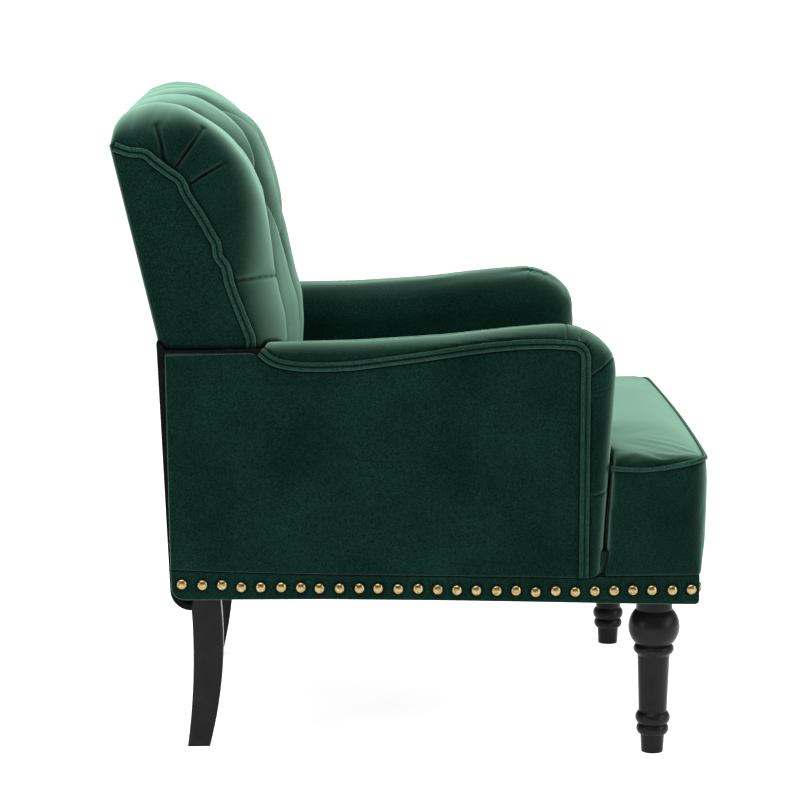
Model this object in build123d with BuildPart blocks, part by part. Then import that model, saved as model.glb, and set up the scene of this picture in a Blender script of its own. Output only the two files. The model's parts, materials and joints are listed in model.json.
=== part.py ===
"""Tufted club chair: a padded base on four legs with a separate leaning back that drops on to it.

Millimetres, +Z up, the front faces -Y and the sitter's left is +X. The origin is on the floor, in the middle.
"""

import os
from math import cos, radians, tan

from build123d import *

# Overall sizes
overall_width = 720.0  # over the nail heads
overall_depth = 826.0  # seat front to the rear top edge
leg_height = 222.0  # floor to the underside of the base
seat_height = 430.0  # floor to the seat welt
joint_height = 590.0  # level joint between base and back unit
arm_crest_rise = 31.0  # highest point of the arms above the joint
back_rise = 280.0  # outside back above the joint
back_lean = 13.0  # degrees

# Layers and clearances
fit = 0.3  # between soft pieces and what they sit on
cover = 5.0  # board and cloth of a flat covered panel
nail_head = 3.5  # height of a nail head
welt_width = 13.0  # double welt
welt_height = 7.5
welt_gap = 0.6  # on both sides of a double welt

# Base frame
rail_thickness = 25.0
rail_height = 78.0
dust_cover_thickness = 1.0
webbing_thickness = 2.0
felt_thickness = 3.0
block_height = 40.0
lower_back_thickness = 9.0
rear_taper = 11.0  # the lower outside back draws in towards the floor
rear_corner = 30.0  # round at its lower edge

# Base band and nails
band_height = 48.0  # at the front
band_rise = 11.0  # more at the rear
nail_radius = 7.0
side_nail_count = 27
front_nail_count = 25

# Arms
arm_thickness = 91.5  # outside cover to inner face
arm_board = 55.0
arm_setback = 120.0  # arm front behind the base front
arm_roll = 76.0  # radius of the front top corner
arm_draft = 17.0  # the arm front draws back towards the floor
arm_rear_setback = 143.0  # arm's rear end in front of the base's rear
arm_rear_rise = 3.0  # arm top above the joint at the rear
arm_sag_setback = 203.0  # where the level rear of the arm top ends
arm_post_depth = 55.0
arm_edge_setback = 40.0  # panel edge behind the arm front
arm_edge_rise = 12.0  # panel edge above the joint at its crest
arm_edge_drop = 25.0  # panel edge below the joint at its dip
edge_dip_setback = 223.0
arm_edge_roll = 26.0
arm_fillet_outer = 15.0
arm_fillet_inner = 30.0

# Seat
seat_bulge = 11.0  # seat front ahead of the base front
seat_crown = 22.0
seat_corner = 22.0
seat_setback = 55.0  # seat's rear in front of the arms' rear
ear_gap = 4.0  # seat ears in front of the arms
seat_welt_radius = 3.5

# Back unit
back_inset = 15.0  # back unit inside the overall width, each side
board_thickness = 18.0
stile_width = 30.0
stile_depth = 41.0
back_rail_thickness = 25.0
bracket_thickness = 2.5
edge_toe_setback = 126.0  # foot of the boards' front edge in front of the base's rear
knee_run = 46.0  # lean of that edge from the joint to the knee
knee_rise = 160.0
shoulder_run = 14.0
shoulder_drop = 11.0
stile_drop = 55.0  # stiles end below the top
lumbar_setback = 138.0
pad_thickness = 86.0  # fullest, below the top row of buttons
lumbar_thickness = 54.0  # lower pad at the seat
tuft_margin = 135.0  # outer buttons from the sides of the back
tuft_gap = 8.0  # pleat width at a button
tuft_depth = 30.0
pleat_depth = 14.0  # half way between two buttons
side_round = 45.0
button_radius = 14.0
button_height = 9.0
pocket_radius = 16.0
pocket_depth = 6.0
pad_lift = 2.2  # pad above the curved edge of the boards

# Legs
front_leg_inset_x = 55.0
front_leg_inset_y = 57.0  # behind the base front
rear_leg_inset_x = 94.0
rear_leg_setback = 55.0
rear_leg_thickness = 36.0
rear_leg_depth = 42.0
rear_leg_sweep = 11.5
bolt_radius = 4.0
bolt_clearance = 0.15
bolt_in_leg = 30.0

# Worked-out places
half_width = overall_width / 2
back_half = half_width - back_inset
tuft_pitch = (back_half - tuft_margin) / 1.5
rear_leg_outer = half_width - rear_leg_inset_x
arm_crest = joint_height + arm_crest_rise
arm_rear_height = joint_height + arm_rear_rise
arm_edge_crest = joint_height + arm_edge_rise
arm_edge_dip = joint_height - arm_edge_drop
cover_x = half_width - nail_head
frame_x = cover_x - cover
arm_inner = cover_x - arm_thickness
front_y = -overall_depth / 2
rear_y = overall_depth / 2
base_front = front_y + seat_bulge
base_rear = rear_y - back_rise * tan(radians(back_lean))
rail_bottom = leg_height + dust_cover_thickness
rail_top = rail_bottom + rail_height
seat_deck = rail_top + webbing_thickness + felt_thickness
front_rail_y = base_front + cover
rear_rail_bottom = leg_height + lower_back_thickness
rear_rail_y = base_rear - rear_taper - lower_back_thickness - fit
arm_front = base_front + arm_setback
panel_front = arm_front + arm_edge_setback
arm_bottom = leg_height + band_height + 3.0
arm_rear = base_rear - arm_rear_setback
edge_dip_y = base_rear - edge_dip_setback
edge_end_y = arm_rear + 2.0
edge_end_z = joint_height - 2.0
rear_post_front = base_rear - 88.0
arm_rail_bottom = arm_edge_dip - 25.0
board_outer = back_half - cover
board_inner = board_outer - board_thickness
stile_inner = board_inner - stile_width
side_rear = cover / cos(radians(back_lean))
edge_toe_y = base_rear - edge_toe_setback
edge_start = 2.0  # the boards' front edge begins this far above the joint and ends as far from the rear
post_inner = board_inner + 2 * bracket_thickness
lumbar_bottom = seat_height + 18.0
pad_bottom = arm_rear_height + 1.5
lumbar_rear = base_rear - lumbar_setback
lower_pad_half = arm_inner - fit
stile_top = joint_height + back_rise - stile_drop
edge_slope = knee_run / (knee_rise - edge_start)  # lean of the boards' lower front edge
upper_rear = edge_toe_y + (pad_bottom - joint_height - edge_start) * edge_slope
lumbar_slope = (upper_rear - lumbar_rear) / (pad_bottom - lumbar_bottom)
front_leg_x = half_width - front_leg_inset_x
front_leg_y = base_front + front_leg_inset_y
rear_leg_x = rear_leg_outer - rear_leg_thickness / 2
rear_leg_y = base_rear - rear_leg_setback
rear_bolt_y = rear_leg_y - 7.0
leg_bolts = [
    (front_leg_x, front_leg_y),
    (-front_leg_x, front_leg_y),
    (rear_leg_x, rear_bolt_y),
    (-rear_leg_x, rear_bolt_y),
]


def band_top(y):
    """Height of the seam above the band, which rises towards the rear."""
    return leg_height + band_height + band_rise * (y - base_front) / (base_rear - base_front)


def base_back(z, depth=0.0):
    """Rear face of the base at a height, or a plane that much further in."""
    return base_rear - rear_taper * (joint_height - z) / (joint_height - leg_height) - depth


def back_plane(z, depth=0.0):
    """Rear face of the back unit at a height, or a plane that much further in."""
    return base_rear + (z - joint_height) * tan(radians(back_lean)) - depth


def arm_edge(inset=0.0):
    """Edge of the outside arm panel: up the front, round the corner, along the dipping top to the back."""
    front_line = panel_front + inset
    crest = arm_edge_crest - inset
    dip = arm_edge_dip - inset
    roll = arm_edge_roll - inset
    crest_y = front_line + roll
    front = Line((front_line, band_top(front_line)), (front_line, crest - roll))
    corner = TangentArc(front @ 1, (crest_y, crest), tangent=front % 1)
    halfway = ((crest_y + edge_dip_y) / 2, (crest + dip) / 2)
    fall = TangentArc(corner @ 1, halfway, tangent=corner % 1)
    sag = TangentArc(fall @ 1, (edge_dip_y, dip), tangent=fall % 1)
    TangentArc(sag @ 1, (edge_end_y + 0.5 * inset, edge_end_z - inset), tangent=sag % 1)


def arm_panel_outline(inset=0.0):
    """Closed outline of the flat arm side, from the band to the joint."""
    arm_edge(inset)
    top = joint_height - 1.0
    bottom = band_top(base_rear)
    Polyline(
        (edge_end_y + 0.5 * inset, edge_end_z - inset),
        (edge_end_y + inset, top),
        (base_back(top, lower_back_thickness), top),
        (base_back(bottom, lower_back_thickness), bottom),
        (panel_front + inset, band_top(panel_front + inset)),
    )


def arm_pad_outline():
    """Closed side outline of the padded arm."""
    crest_y = arm_front + arm_roll
    sag_y = base_rear - arm_sag_setback
    top = Line((arm_rear, arm_rear_height), (sag_y, arm_rear_height))
    halfway = ((sag_y + crest_y) / 2, (arm_rear_height + arm_crest) / 2)
    rise = TangentArc(top @ 1, halfway, tangent=top % 1)
    crest = TangentArc(rise @ 1, (crest_y, arm_crest), tangent=rise % 1)
    TangentArc(crest @ 1, (arm_front, arm_crest - arm_roll), tangent=crest % 1)
    Polyline(
        (arm_front, arm_crest - arm_roll),
        (arm_front + arm_draft, arm_bottom),
        (arm_rear, arm_bottom),
        (arm_rear, arm_rear_height),
    )


def back_edge(inset=0.0):
    """Front and top edge of the back's side boards, from the joint to the rear top corner."""
    toe = (edge_toe_y + inset, joint_height + edge_start)
    knee = (edge_toe_y + knee_run + inset * 0.96, joint_height + knee_rise - inset * 0.28)
    top = joint_height + back_rise - inset
    shoulder = (base_rear + shoulder_run + inset * 0.4, top - shoulder_drop + inset * 0.1)
    corner = (back_plane(top, side_rear) - edge_start, top)
    lower = Line(toe, knee)
    upper = TangentArc(lower @ 1, shoulder, tangent=lower % 1)
    TangentArc(upper @ 1, corner, tangent=upper % 1)


def back_side_outline(inset=0.0):
    """Closed outline of the back's flat side."""
    back_edge(inset)
    top = joint_height + back_rise - inset
    Polyline(
        (back_plane(top, side_rear) - edge_start, top),
        (back_plane(top, side_rear), top),
        (back_plane(joint_height, side_rear), joint_height),
        (edge_toe_y + inset, joint_height),
        (edge_toe_y + inset, joint_height + edge_start),
    )


def double_welt_profile():
    """Two cords side by side, flat where they are fixed and with chamfered tops."""
    side = welt_width / 2
    neck = welt_height * 0.65
    Polyline(
        (-side, 0),
        (side, 0),
        (side, neck),
        (0.75 * side, welt_height),
        (0.25 * side, welt_height),
        (0, neck),
        (-0.25 * side, welt_height),
        (-0.75 * side, welt_height),
        (-side, neck),
        close=True,
    )


def pleats(phase):
    """Places of the six pleats across the back: phase 0 at a row of four buttons, 1 at a row of three."""
    gap = tuft_gap / 2
    outer = 1.5 * tuft_pitch + (gap - tuft_pitch / 2) * phase
    middle = 0.5 * tuft_pitch + gap + (tuft_pitch / 2 - 2 * gap) * phase
    inner = (0.5 * tuft_pitch - gap) * (1 - phase) + gap * phase
    return [outer, middle, inner, -inner, -middle, -outer]


def pad_outline(half, thickness, depth, phase, lift=0.0):
    """Closed cross-section of the tufted pad: flat back, rounded sides and arcs between the pleats."""
    radius = min(side_round, 0.8 * thickness)
    places = pleats(phase)
    widest = max(a - b for a, b in zip(places, places[1:]))
    floor = thickness - depth
    lobe = thickness - 0.25 * depth
    shoulder = half - radius
    start = Polyline((-half, thickness - radius), (-half, lift), (half, lift), (half, thickness - radius))
    side = TangentArc(start @ 1, (shoulder, thickness), tangent=start % 1)
    ThreePointArc(side @ 1, ((shoulder + places[0]) / 2, lobe), (places[0], floor))
    for a, b in zip(places, places[1:]):
        crown = floor + depth * (a - b) / widest
        ThreePointArc((a, floor), ((a + b) / 2, crown), (b, floor))
    far = ThreePointArc((-places[0], floor), (-(shoulder + places[0]) / 2, lobe), (-shoulder, thickness))
    TangentArc(far @ 1, (-half, thickness - radius), tangent=(-1, 0))


def arm_front_at(z):
    """Front of the arms at a height below their roll."""
    roll_bottom = arm_crest - arm_roll
    return arm_front + arm_draft * (roll_bottom - z) / (roll_bottom - arm_bottom)


def seat_outline(z, front_inset, side_inset):
    """T outline of the seat: ears in front of the arms, the rest between them."""
    radius = seat_corner - 0.15 * side_inset
    front = front_y + front_inset
    ear = arm_front_at(z) - ear_gap - 0.05 * side_inset
    wide = cover_x - side_inset
    narrow = arm_inner - fit - side_inset
    rear = arm_rear - seat_setback - side_inset
    edge = Line((-wide + radius, front), (wide - radius, front))
    corner = TangentArc(edge @ 1, (wide, front + radius), tangent=edge % 1)
    around = Polyline(
        corner @ 1,
        (wide, ear),
        (narrow, ear),
        (narrow, rear),
        (-narrow, rear),
        (-narrow, ear),
        (-wide, ear),
        (-wide, front + radius),
    )
    TangentArc(around @ 1, edge @ 0, tangent=around % 1)


def seat_welt_path(height, front_inset, side_inset):
    """Front edge of the seat from one ear round to the other."""
    radius = seat_corner - 0.15 * side_inset
    front = front_y + front_inset
    wide = cover_x - side_inset
    ear = arm_front_at(height) - ear_gap - 1.0
    left = Line((wide, ear, height), (wide, front + radius, height))
    corner = TangentArc(left @ 1, (wide - radius, front, height), tangent=left % 1)
    edge = Line(corner @ 1, (-wide + radius, front, height))
    turn = TangentArc(edge @ 1, (-wide, front + radius, height), tangent=edge % 1)
    Line(turn @ 1, (-wide, ear, height))


# Seat frame
front_rail_depth = front_rail_y + rail_thickness
rear_rail_front = rear_rail_y - rail_thickness

with BuildPart() as front_seat_rail:
    with BuildSketch(Plane.XY.offset(rail_bottom)):
        with Locations((0, front_rail_y + rail_thickness / 2)):
            Rectangle(2 * frame_x, rail_thickness)
    extrude(amount=rail_height)

with BuildPart() as rear_seat_rail:
    with BuildSketch(Plane.XY.offset(rear_rail_bottom)):
        with Locations((0, rear_rail_y - rail_thickness / 2)):
            Rectangle(2 * frame_x, rail_thickness)
    extrude(amount=rail_top - rear_rail_bottom)
    lower_rear = rear_seat_rail.edges().filter_by(Axis.X).group_by(Axis.Z)[0].sort_by(Axis.Y)[-1]
    fillet(lower_rear, rear_corner - lower_back_thickness)

with BuildPart() as left_seat_rail:
    with BuildSketch(Plane.XY.offset(rail_bottom)):
        with Locations((frame_x - rail_thickness / 2, (front_rail_depth + rear_rail_front) / 2)):
            Rectangle(rail_thickness, rear_rail_front - front_rail_depth)
    extrude(amount=rail_height)

with BuildPart() as right_seat_rail:
    mirror(left_seat_rail.part, about=Plane.YZ)

corner_leg = 95.0
with BuildPart() as front_corner_blocks:
    with BuildSketch(Plane.XY.offset(rail_bottom)):
        for side in (1, -1):
            inner = side * (frame_x - rail_thickness)
            with BuildLine():
                Polyline(
                    (inner, front_rail_depth),
                    (inner, front_rail_depth + corner_leg),
                    (inner - side * corner_leg, front_rail_depth),
                    close=True,
                )
            make_face()
        with Locations(*leg_bolts[:2]):
            Circle(bolt_radius + 1.3, mode=Mode.SUBTRACT)
    extrude(amount=block_height)

rear_block_length = frame_x - rail_thickness - rear_leg_outer + 51.0
rear_block_depth = 60.0
with BuildPart() as rear_leg_blocks:
    with BuildSketch(Plane.XY.offset(rail_bottom)):
        for side in (1, -1):
            middle = side * (frame_x - rail_thickness - rear_block_length / 2)
            with Locations((middle, rear_rail_front - rear_block_depth / 2)):
                Rectangle(rear_block_length, rear_block_depth)
        with Locations(*leg_bolts[2:]):
            Circle(bolt_radius + 1.3, mode=Mode.SUBTRACT)
    extrude(amount=block_height)

# Arm and rear posts
with BuildPart() as left_arm_front_post:
    with BuildSketch(Plane.YZ.offset(frame_x - arm_board)):
        with Locations((panel_front + arm_post_depth / 2, (rail_top + arm_rail_bottom) / 2)):
            Rectangle(arm_post_depth, arm_rail_bottom - rail_top)
    extrude(amount=arm_board)

with BuildPart() as left_arm_top_rail:
    with BuildSketch(Plane.YZ.offset(frame_x - arm_board)):
        with BuildLine():
            arm_panel_outline()
        make_face()
        with Locations((panel_front, arm_rail_bottom)):
            keep = (rear_post_front - panel_front, joint_height - arm_rail_bottom + 50.0)
            Rectangle(*keep, align=(Align.MIN, Align.MIN), mode=Mode.INTERSECT)
    extrude(amount=arm_board)

with BuildPart() as left_rear_post:
    with BuildSketch(Plane.YZ.offset(post_inner)):
        with BuildLine():
            Polyline(
                (rear_post_front, rail_top),
                (base_back(rail_top, lower_back_thickness), rail_top),
                (base_back(joint_height, lower_back_thickness), joint_height),
                (rear_post_front, joint_height),
                close=True,
            )
        make_face()
    extrude(amount=frame_x - post_inner)

with BuildPart() as right_arm_front_post:
    mirror(left_arm_front_post.part, about=Plane.YZ)

with BuildPart() as right_arm_top_rail:
    mirror(left_arm_top_rail.part, about=Plane.YZ)

with BuildPart() as right_rear_post:
    mirror(left_rear_post.part, about=Plane.YZ)

cross_rail_bottom = rail_top + 90.0
cross_rail_height = 55.0
with BuildPart() as rear_cross_rail:
    with BuildSketch(Plane.XY.offset(cross_rail_bottom)):
        with Locations((0, base_back(cross_rail_bottom, lower_back_thickness + 10.0))):
            Rectangle(2 * post_inner, 20.0)
    extrude(amount=cross_rail_height)

# Seat suspension
strap_count = 7
strap_pitch = 70.0
strap_length = rear_rail_y - front_rail_y - 16.0
with BuildPart() as seat_webbing:
    with BuildSketch(Plane.XY.offset(rail_top)):
        with Locations((0, (front_rail_y + rear_rail_y) / 2)):
            with GridLocations(strap_pitch, 1, strap_count, 1):
                Rectangle(58.0, strap_length)
    extrude(amount=webbing_thickness)

with BuildPart() as seat_felt:
    with BuildSketch(Plane.XY.offset(rail_top + webbing_thickness)):
        with Locations((0, (front_rail_y + rear_rail_y) / 2)):
            Rectangle(2 * (arm_inner - 3.0), strap_length)
    extrude(amount=felt_thickness)

with BuildPart() as dust_cover:
    dust_front = front_rail_y + 10.0
    dust_rear = base_back(leg_height + rear_corner) - rear_corner - fit
    with BuildSketch(Plane.XY.offset(leg_height)):
        with Locations((0, (dust_front + dust_rear) / 2)):
            Rectangle(2 * frame_x - 20.0, dust_rear - dust_front)
        with Locations(*leg_bolts):
            Circle(bolt_radius + 1.3, mode=Mode.SUBTRACT)
    extrude(amount=dust_cover_thickness)

# Seat pad and its welt: height, front inset and side inset of each level section
seat_levels = [
    (band_top(arm_front) + fit, seat_bulge, 1.0),
    (seat_height - 33.0, 0.0, 0.0),
    (seat_height, 3.0, 4.0),
    (seat_height + 0.43 * seat_crown, 22.0, 20.0),
    (seat_height + 0.79 * seat_crown, 52.0, 48.0),
    (seat_height + seat_crown, 80.0, 76.0),
]

with BuildPart() as seat_welt:
    with BuildLine() as seat_cord:
        seat_welt_path(seat_height, seat_welt_radius, 3.0)
    with BuildSketch(Plane(seat_cord.line @ 0, x_dir=(1, 0, 0), z_dir=(0, -1, 0))):
        RegularPolygon(seat_welt_radius, 8)
    sweep(path=seat_cord.wires()[0])

with BuildPart() as seat_pad:
    for height, front_inset, side_inset in seat_levels:
        with BuildSketch(Plane.XY.offset(height)):
            with BuildLine():
                seat_outline(height, front_inset, side_inset)
            make_face()
    loft(ruled=True)
    with Locations((0, front_rail_y - fit, 0)):
        frame_room = (2 * (frame_x + fit), overall_depth, seat_deck)
        Box(*frame_room, align=(Align.CENTER, Align.MIN, Align.MIN), mode=Mode.SUBTRACT)
    with BuildSketch(Plane(seat_cord.line @ 0 + (0, 6, 0), x_dir=(1, 0, 0), z_dir=(0, -1, 0))):
        RegularPolygon(seat_welt_radius + fit, 8)
    with BuildLine() as groove:
        Line(seat_cord.line @ 0 + (0, 6, 0), seat_cord.line @ 0)
        add(seat_cord.line)
        Line(seat_cord.line @ 1, seat_cord.line @ 1 + (0, 6, 0))
    sweep(path=groove.wires()[0], mode=Mode.SUBTRACT)

# Arm pads, outside panels and welts
with BuildPart() as left_arm_pad:
    with BuildSketch(Plane.YZ.offset(arm_inner)):
        with BuildLine():
            arm_pad_outline()
        make_face()
    extrude(amount=arm_thickness)
    long_edges = left_arm_pad.edges().filter_by(GeomType.CIRCLE)
    fillet(long_edges.group_by(Axis.X)[0], arm_fillet_inner)
    outer_arcs = left_arm_pad.edges().filter_by(Plane.YZ).group_by(Axis.X)[-1].filter_by(GeomType.CIRCLE)
    fillet(outer_arcs, arm_fillet_outer)
    with BuildSketch(Plane.YZ.offset(frame_x - arm_board - fit)):
        with BuildLine():
            arm_panel_outline()
        make_face()
        with Locations((panel_front, leg_height)):
            below = (arm_rear - panel_front + 10.0, rail_height)
            Rectangle(*below, align=(Align.MIN, Align.MIN))
    extrude(amount=arm_board + cover + 10.0, mode=Mode.SUBTRACT)
    with Locations((frame_x - rail_thickness - fit, 0, 0)):
        rail_room = (rail_thickness + fit, overall_depth, rail_top + fit)
        Box(*rail_room, align=(Align.MIN, Align.CENTER, Align.MIN), mode=Mode.SUBTRACT)

with BuildPart() as right_arm_pad:
    mirror(left_arm_pad.part, about=Plane.YZ)

with BuildPart() as left_outside_arm:
    with BuildSketch(Plane.YZ.offset(frame_x)):
        with BuildLine():
            arm_panel_outline(welt_width + 2 * welt_gap)
        make_face()
    extrude(amount=cover)

with BuildPart() as right_outside_arm:
    mirror(left_outside_arm.part, about=Plane.YZ)

with BuildPart() as left_arm_welt:
    with BuildLine(Plane.YZ.offset(frame_x)) as arm_cord:
        arm_edge(welt_width / 2 + welt_gap)
    with BuildSketch(Plane(arm_cord.line @ 0, x_dir=(0, -1, 0), z_dir=arm_cord.line % 0)):
        with BuildLine():
            double_welt_profile()
        make_face()
    sweep(path=arm_cord.wires()[0])

with BuildPart() as right_arm_welt:
    mirror(left_arm_welt.part, about=Plane.YZ)

# Base band and nails
side_band_front = front_rail_y
band_turn_z = leg_height + rear_corner
band_turn_y = base_back(band_turn_z)
band_roll_y = band_turn_y - rear_corner - fit
band_inset = lower_back_thickness + fit
with BuildPart() as left_band:
    with BuildSketch(Plane.YZ.offset(frame_x)):
        with BuildLine():
            below = Polyline(
                (side_band_front, band_top(side_band_front) - fit),
                (side_band_front, leg_height),
                (band_roll_y, leg_height),
                (band_roll_y, leg_height + band_inset),
            )
            bend = TangentArc(below @ 1, (band_turn_y - band_inset, band_turn_z), tangent=(1, 0))
            band_rear_top = band_top(base_back(band_turn_z)) - fit
            Polyline(bend @ 1, (base_back(band_rear_top, band_inset), band_rear_top), below @ 0)
        make_face()
    extrude(amount=cover)

with BuildPart() as right_band:
    mirror(left_band.part, about=Plane.YZ)

with BuildPart() as front_band:
    with BuildSketch(Plane.XY.offset(leg_height)):
        with Locations((0, base_front + cover / 2)):
            Rectangle(2 * cover_x, cover)
    extrude(amount=band_height)

side_nail_front = base_front + nail_radius + 4.5
side_nail_rear = band_turn_y - band_inset - nail_radius - 1.5
side_nail_pitch = (side_nail_rear - side_nail_front) / (side_nail_count - 1)
with BuildPart() as left_nails:
    for i in range(side_nail_count):
        nail_y = side_nail_front + i * side_nail_pitch
        with BuildSketch(Plane.YZ.offset(cover_x)):
            with Locations((nail_y, band_top(nail_y) - 19.0)):
                RegularPolygon(nail_radius, 8)
    extrude(amount=nail_head, taper=38)

with BuildPart() as right_nails:
    mirror(left_nails.part, about=Plane.YZ)

front_nail_pitch = 2 * (cover_x - nail_radius - 8.0) / (front_nail_count - 1)
with BuildPart() as front_nails:
    with BuildSketch(Plane.XZ.offset(-base_front)):
        with Locations((0, leg_height + band_height - 19.0)):
            with GridLocations(front_nail_pitch, 1, front_nail_count, 1):
                RegularPolygon(nail_radius, 8)
    extrude(amount=nail_head, taper=38)

# Lower outside back, rolled under the rear rail
with BuildPart() as lower_outside_back:
    with BuildSketch(Plane.YZ.offset(-cover_x)):
        with BuildLine():
            turn_z = leg_height + rear_corner
            turn_y = base_back(turn_z)
            roll_y = turn_y - rear_corner
            inner_z = leg_height + lower_back_thickness
            Line((roll_y, inner_z), (roll_y, leg_height))
            bend = TangentArc((roll_y, leg_height), (turn_y, turn_z), tangent=(1, 0))
            Polyline(
                bend @ 1,
                (base_rear, joint_height),
                (base_rear - lower_back_thickness, joint_height),
                (turn_y - lower_back_thickness, turn_z),
            )
            TangentArc((roll_y, inner_z), (turn_y - lower_back_thickness, turn_z), tangent=(1, 0))
        make_face()
    extrude(amount=2 * cover_x)

# Back unit: frame
with BuildPart() as left_back_board:
    with BuildSketch(Plane.YZ.offset(board_inner)):
        with BuildLine():
            back_side_outline()
        make_face()
    extrude(amount=board_thickness)

with BuildPart() as right_back_board:
    mirror(left_back_board.part, about=Plane.YZ)

stile_rear = lower_back_thickness + 1.0
with BuildPart() as left_back_stile:
    with BuildSketch(Plane.YZ.offset(stile_inner)):
        with BuildLine():
            Polyline(
                (back_plane(lumbar_bottom, stile_rear + stile_depth), lumbar_bottom),
                (back_plane(lumbar_bottom, stile_rear), lumbar_bottom),
                (back_plane(stile_top, stile_rear), stile_top),
                (back_plane(stile_top, stile_rear + stile_depth), stile_top),
                close=True,
            )
        make_face()
    extrude(amount=stile_width)

with BuildPart() as right_back_stile:
    mirror(left_back_stile.part, about=Plane.YZ)

with BuildPart() as back_top_rail:
    with BuildSketch(Plane.YZ.offset(-board_inner)):
        with Locations((back_plane(stile_top, stile_rear + stile_depth / 2), stile_top)):
            Rectangle(stile_depth, back_rail_thickness, align=(Align.CENTER, Align.MIN))
    extrude(amount=2 * board_inner)


def cross_rail_outline(front, bottom, slope):
    """Flat rail from the pad to the stiles, both edges along their lean."""
    top = bottom + back_rail_thickness
    reach = stile_rear + stile_depth
    Polyline(
        (front, bottom),
        (back_plane(bottom, reach), bottom),
        (back_plane(top, reach), top),
        (front + slope * back_rail_thickness, top),
        close=True,
    )


lumbar_rail_bottom = pad_bottom + 6.0
with BuildPart() as back_lumbar_rail:
    with BuildSketch(Plane.YZ.offset(-board_inner)):
        with BuildLine():
            cross_rail_outline(upper_rear + 3.0, lumbar_rail_bottom, edge_slope)
        make_face()
    extrude(amount=2 * board_inner)

with BuildPart() as back_bottom_rail:
    with BuildSketch(Plane.YZ.offset(-board_inner)):
        with BuildLine():
            cross_rail_outline(lumbar_rear + fit, lumbar_bottom, lumbar_slope)
        make_face()
    extrude(amount=2 * board_inner)

with BuildPart() as outside_back:
    with BuildSketch(Plane.YZ.offset(-back_half)):
        with BuildLine():
            depth = cover / cos(radians(back_lean))
            top = joint_height + back_rise
            Polyline(
                (back_plane(joint_height, depth), joint_height),
                (back_plane(joint_height), joint_height),
                (back_plane(top), top),
                (back_plane(top, depth), top),
                close=True,
            )
        make_face()
    extrude(amount=2 * back_half)

# Back unit: brackets, a tapered tongue on each stile and a plate of the same outline on each rear post
with BuildPart() as left_bracket_tongue:
    with BuildSketch(Plane.YZ.offset(board_inner)):
        with BuildLine():
            low = joint_height - 105.0
            high = joint_height - 25.0
            Polyline(
                (back_plane(low, stile_rear + 26.0), low),
                (back_plane(low, stile_rear + 14.0), low),
                (back_plane(high, stile_rear + 8.0), high),
                (back_plane(high, stile_rear + 32.0), high),
                close=True,
            )
        make_face()
    extrude(amount=bracket_thickness)

with BuildPart() as left_bracket_plate:
    with BuildSketch(Plane.YZ.offset(board_inner + bracket_thickness)):
        with Locations((back_plane(joint_height - 65.0, stile_rear + 20.0), joint_height - 65.0)):
            Rectangle(44.0, 100.0)
    extrude(amount=bracket_thickness)
    fillet(left_bracket_plate.edges().filter_by(Axis.X), 6.0)

with BuildPart() as back_bracket_tongues:
    add(left_bracket_tongue.part)
    mirror(about=Plane.YZ)

with BuildPart() as back_bracket_plates:
    add(left_bracket_plate.part)
    mirror(about=Plane.YZ)

# Tufted pad: place along the boards' edge, thickness, pleat depth and phase of each section
with BuildLine(Plane.YZ) as board_edge:
    back_edge()
edge = board_edge.wires()[0]
row_low, row_middle, row_high = 0.245, 0.51, 0.79
row_low_thickness = 0.84 * pad_thickness
row_middle_thickness = 0.92 * pad_thickness
row_high_thickness = 0.88 * pad_thickness
pad_foot = 0.78 * pad_thickness
pad_levels = [
    (row_low, row_low_thickness, tuft_depth, 0.0),
    (row_middle, row_middle_thickness, tuft_depth, 1.0),
    ((row_middle + row_high) / 2, pad_thickness, pleat_depth, 0.5),
    (row_high, row_high_thickness, tuft_depth, 0.0),
    (0.9, 0.7 * pad_thickness, pleat_depth, 0.0),
    (0.965, 0.55 * pad_thickness, pleat_depth * 0.8, 0.0),
    (1.0, 0.31 * pad_thickness, pleat_depth * 0.5, 0.0),
]


def pad_plane(place):
    """Section plane square to the boards' edge, its local Y pointing out of the pad."""
    along = edge % place
    return Plane(edge @ place, x_dir=(1, 0, 0), z_dir=(0, -along.Y, -along.Z))


def lumbar_plane(z, rear):
    """Level section plane whose local Y points to the front."""
    return Plane((0, rear, z), x_dir=(1, 0, 0), z_dir=(0, 0, -1))


lower_levels = [(lumbar_bottom, lumbar_thickness), (pad_bottom, pad_foot)]

button_spots = [
    (pad_plane(row_low), row_low_thickness, (-1.5, -0.5, 0.5, 1.5)),
    (pad_plane(row_middle), row_middle_thickness, (-1, 0, 1)),
    (pad_plane(row_high), row_high_thickness, (-1.5, -0.5, 0.5, 1.5)),
]


def button_places(plane, thickness, places):
    """Planes on the pocket floors of one row of buttons."""
    level = thickness - tuft_depth - pocket_depth
    return [
        Plane(plane.from_local_coords((tuft_pitch * n, level, 0)), x_dir=(1, 0, 0), z_dir=plane.y_dir)
        for n in places
    ]


all_places = [Location(place) for row in button_spots for place in button_places(*row)]

with BuildPart() as back_pad:
    with BuildSketch(lumbar_plane(pad_bottom, upper_rear)):
        with BuildLine():
            pad_outline(back_half - fit, pad_foot, pleat_depth, 0.0, pad_lift)
        make_face()
    for place, thickness, depth, phase in pad_levels:
        with BuildSketch(pad_plane(place)):
            with BuildLine():
                pad_outline(back_half - fit, thickness, depth, phase, pad_lift)
            make_face()
    loft(ruled=True)
    with Locations(*all_places):
        pocket = (pocket_radius, tuft_depth + pocket_depth)
        Cylinder(*pocket, align=(Align.CENTER, Align.CENTER, Align.MIN), mode=Mode.SUBTRACT)

with BuildPart() as back_lower_pad:
    for z, thickness in lower_levels:
        with BuildSketch(lumbar_plane(z, lumbar_rear + (z - lumbar_bottom) * lumbar_slope)):
            with BuildLine():
                pad_outline(lower_pad_half, thickness, pleat_depth, 0.0)
            make_face()
    loft(ruled=True)

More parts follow.
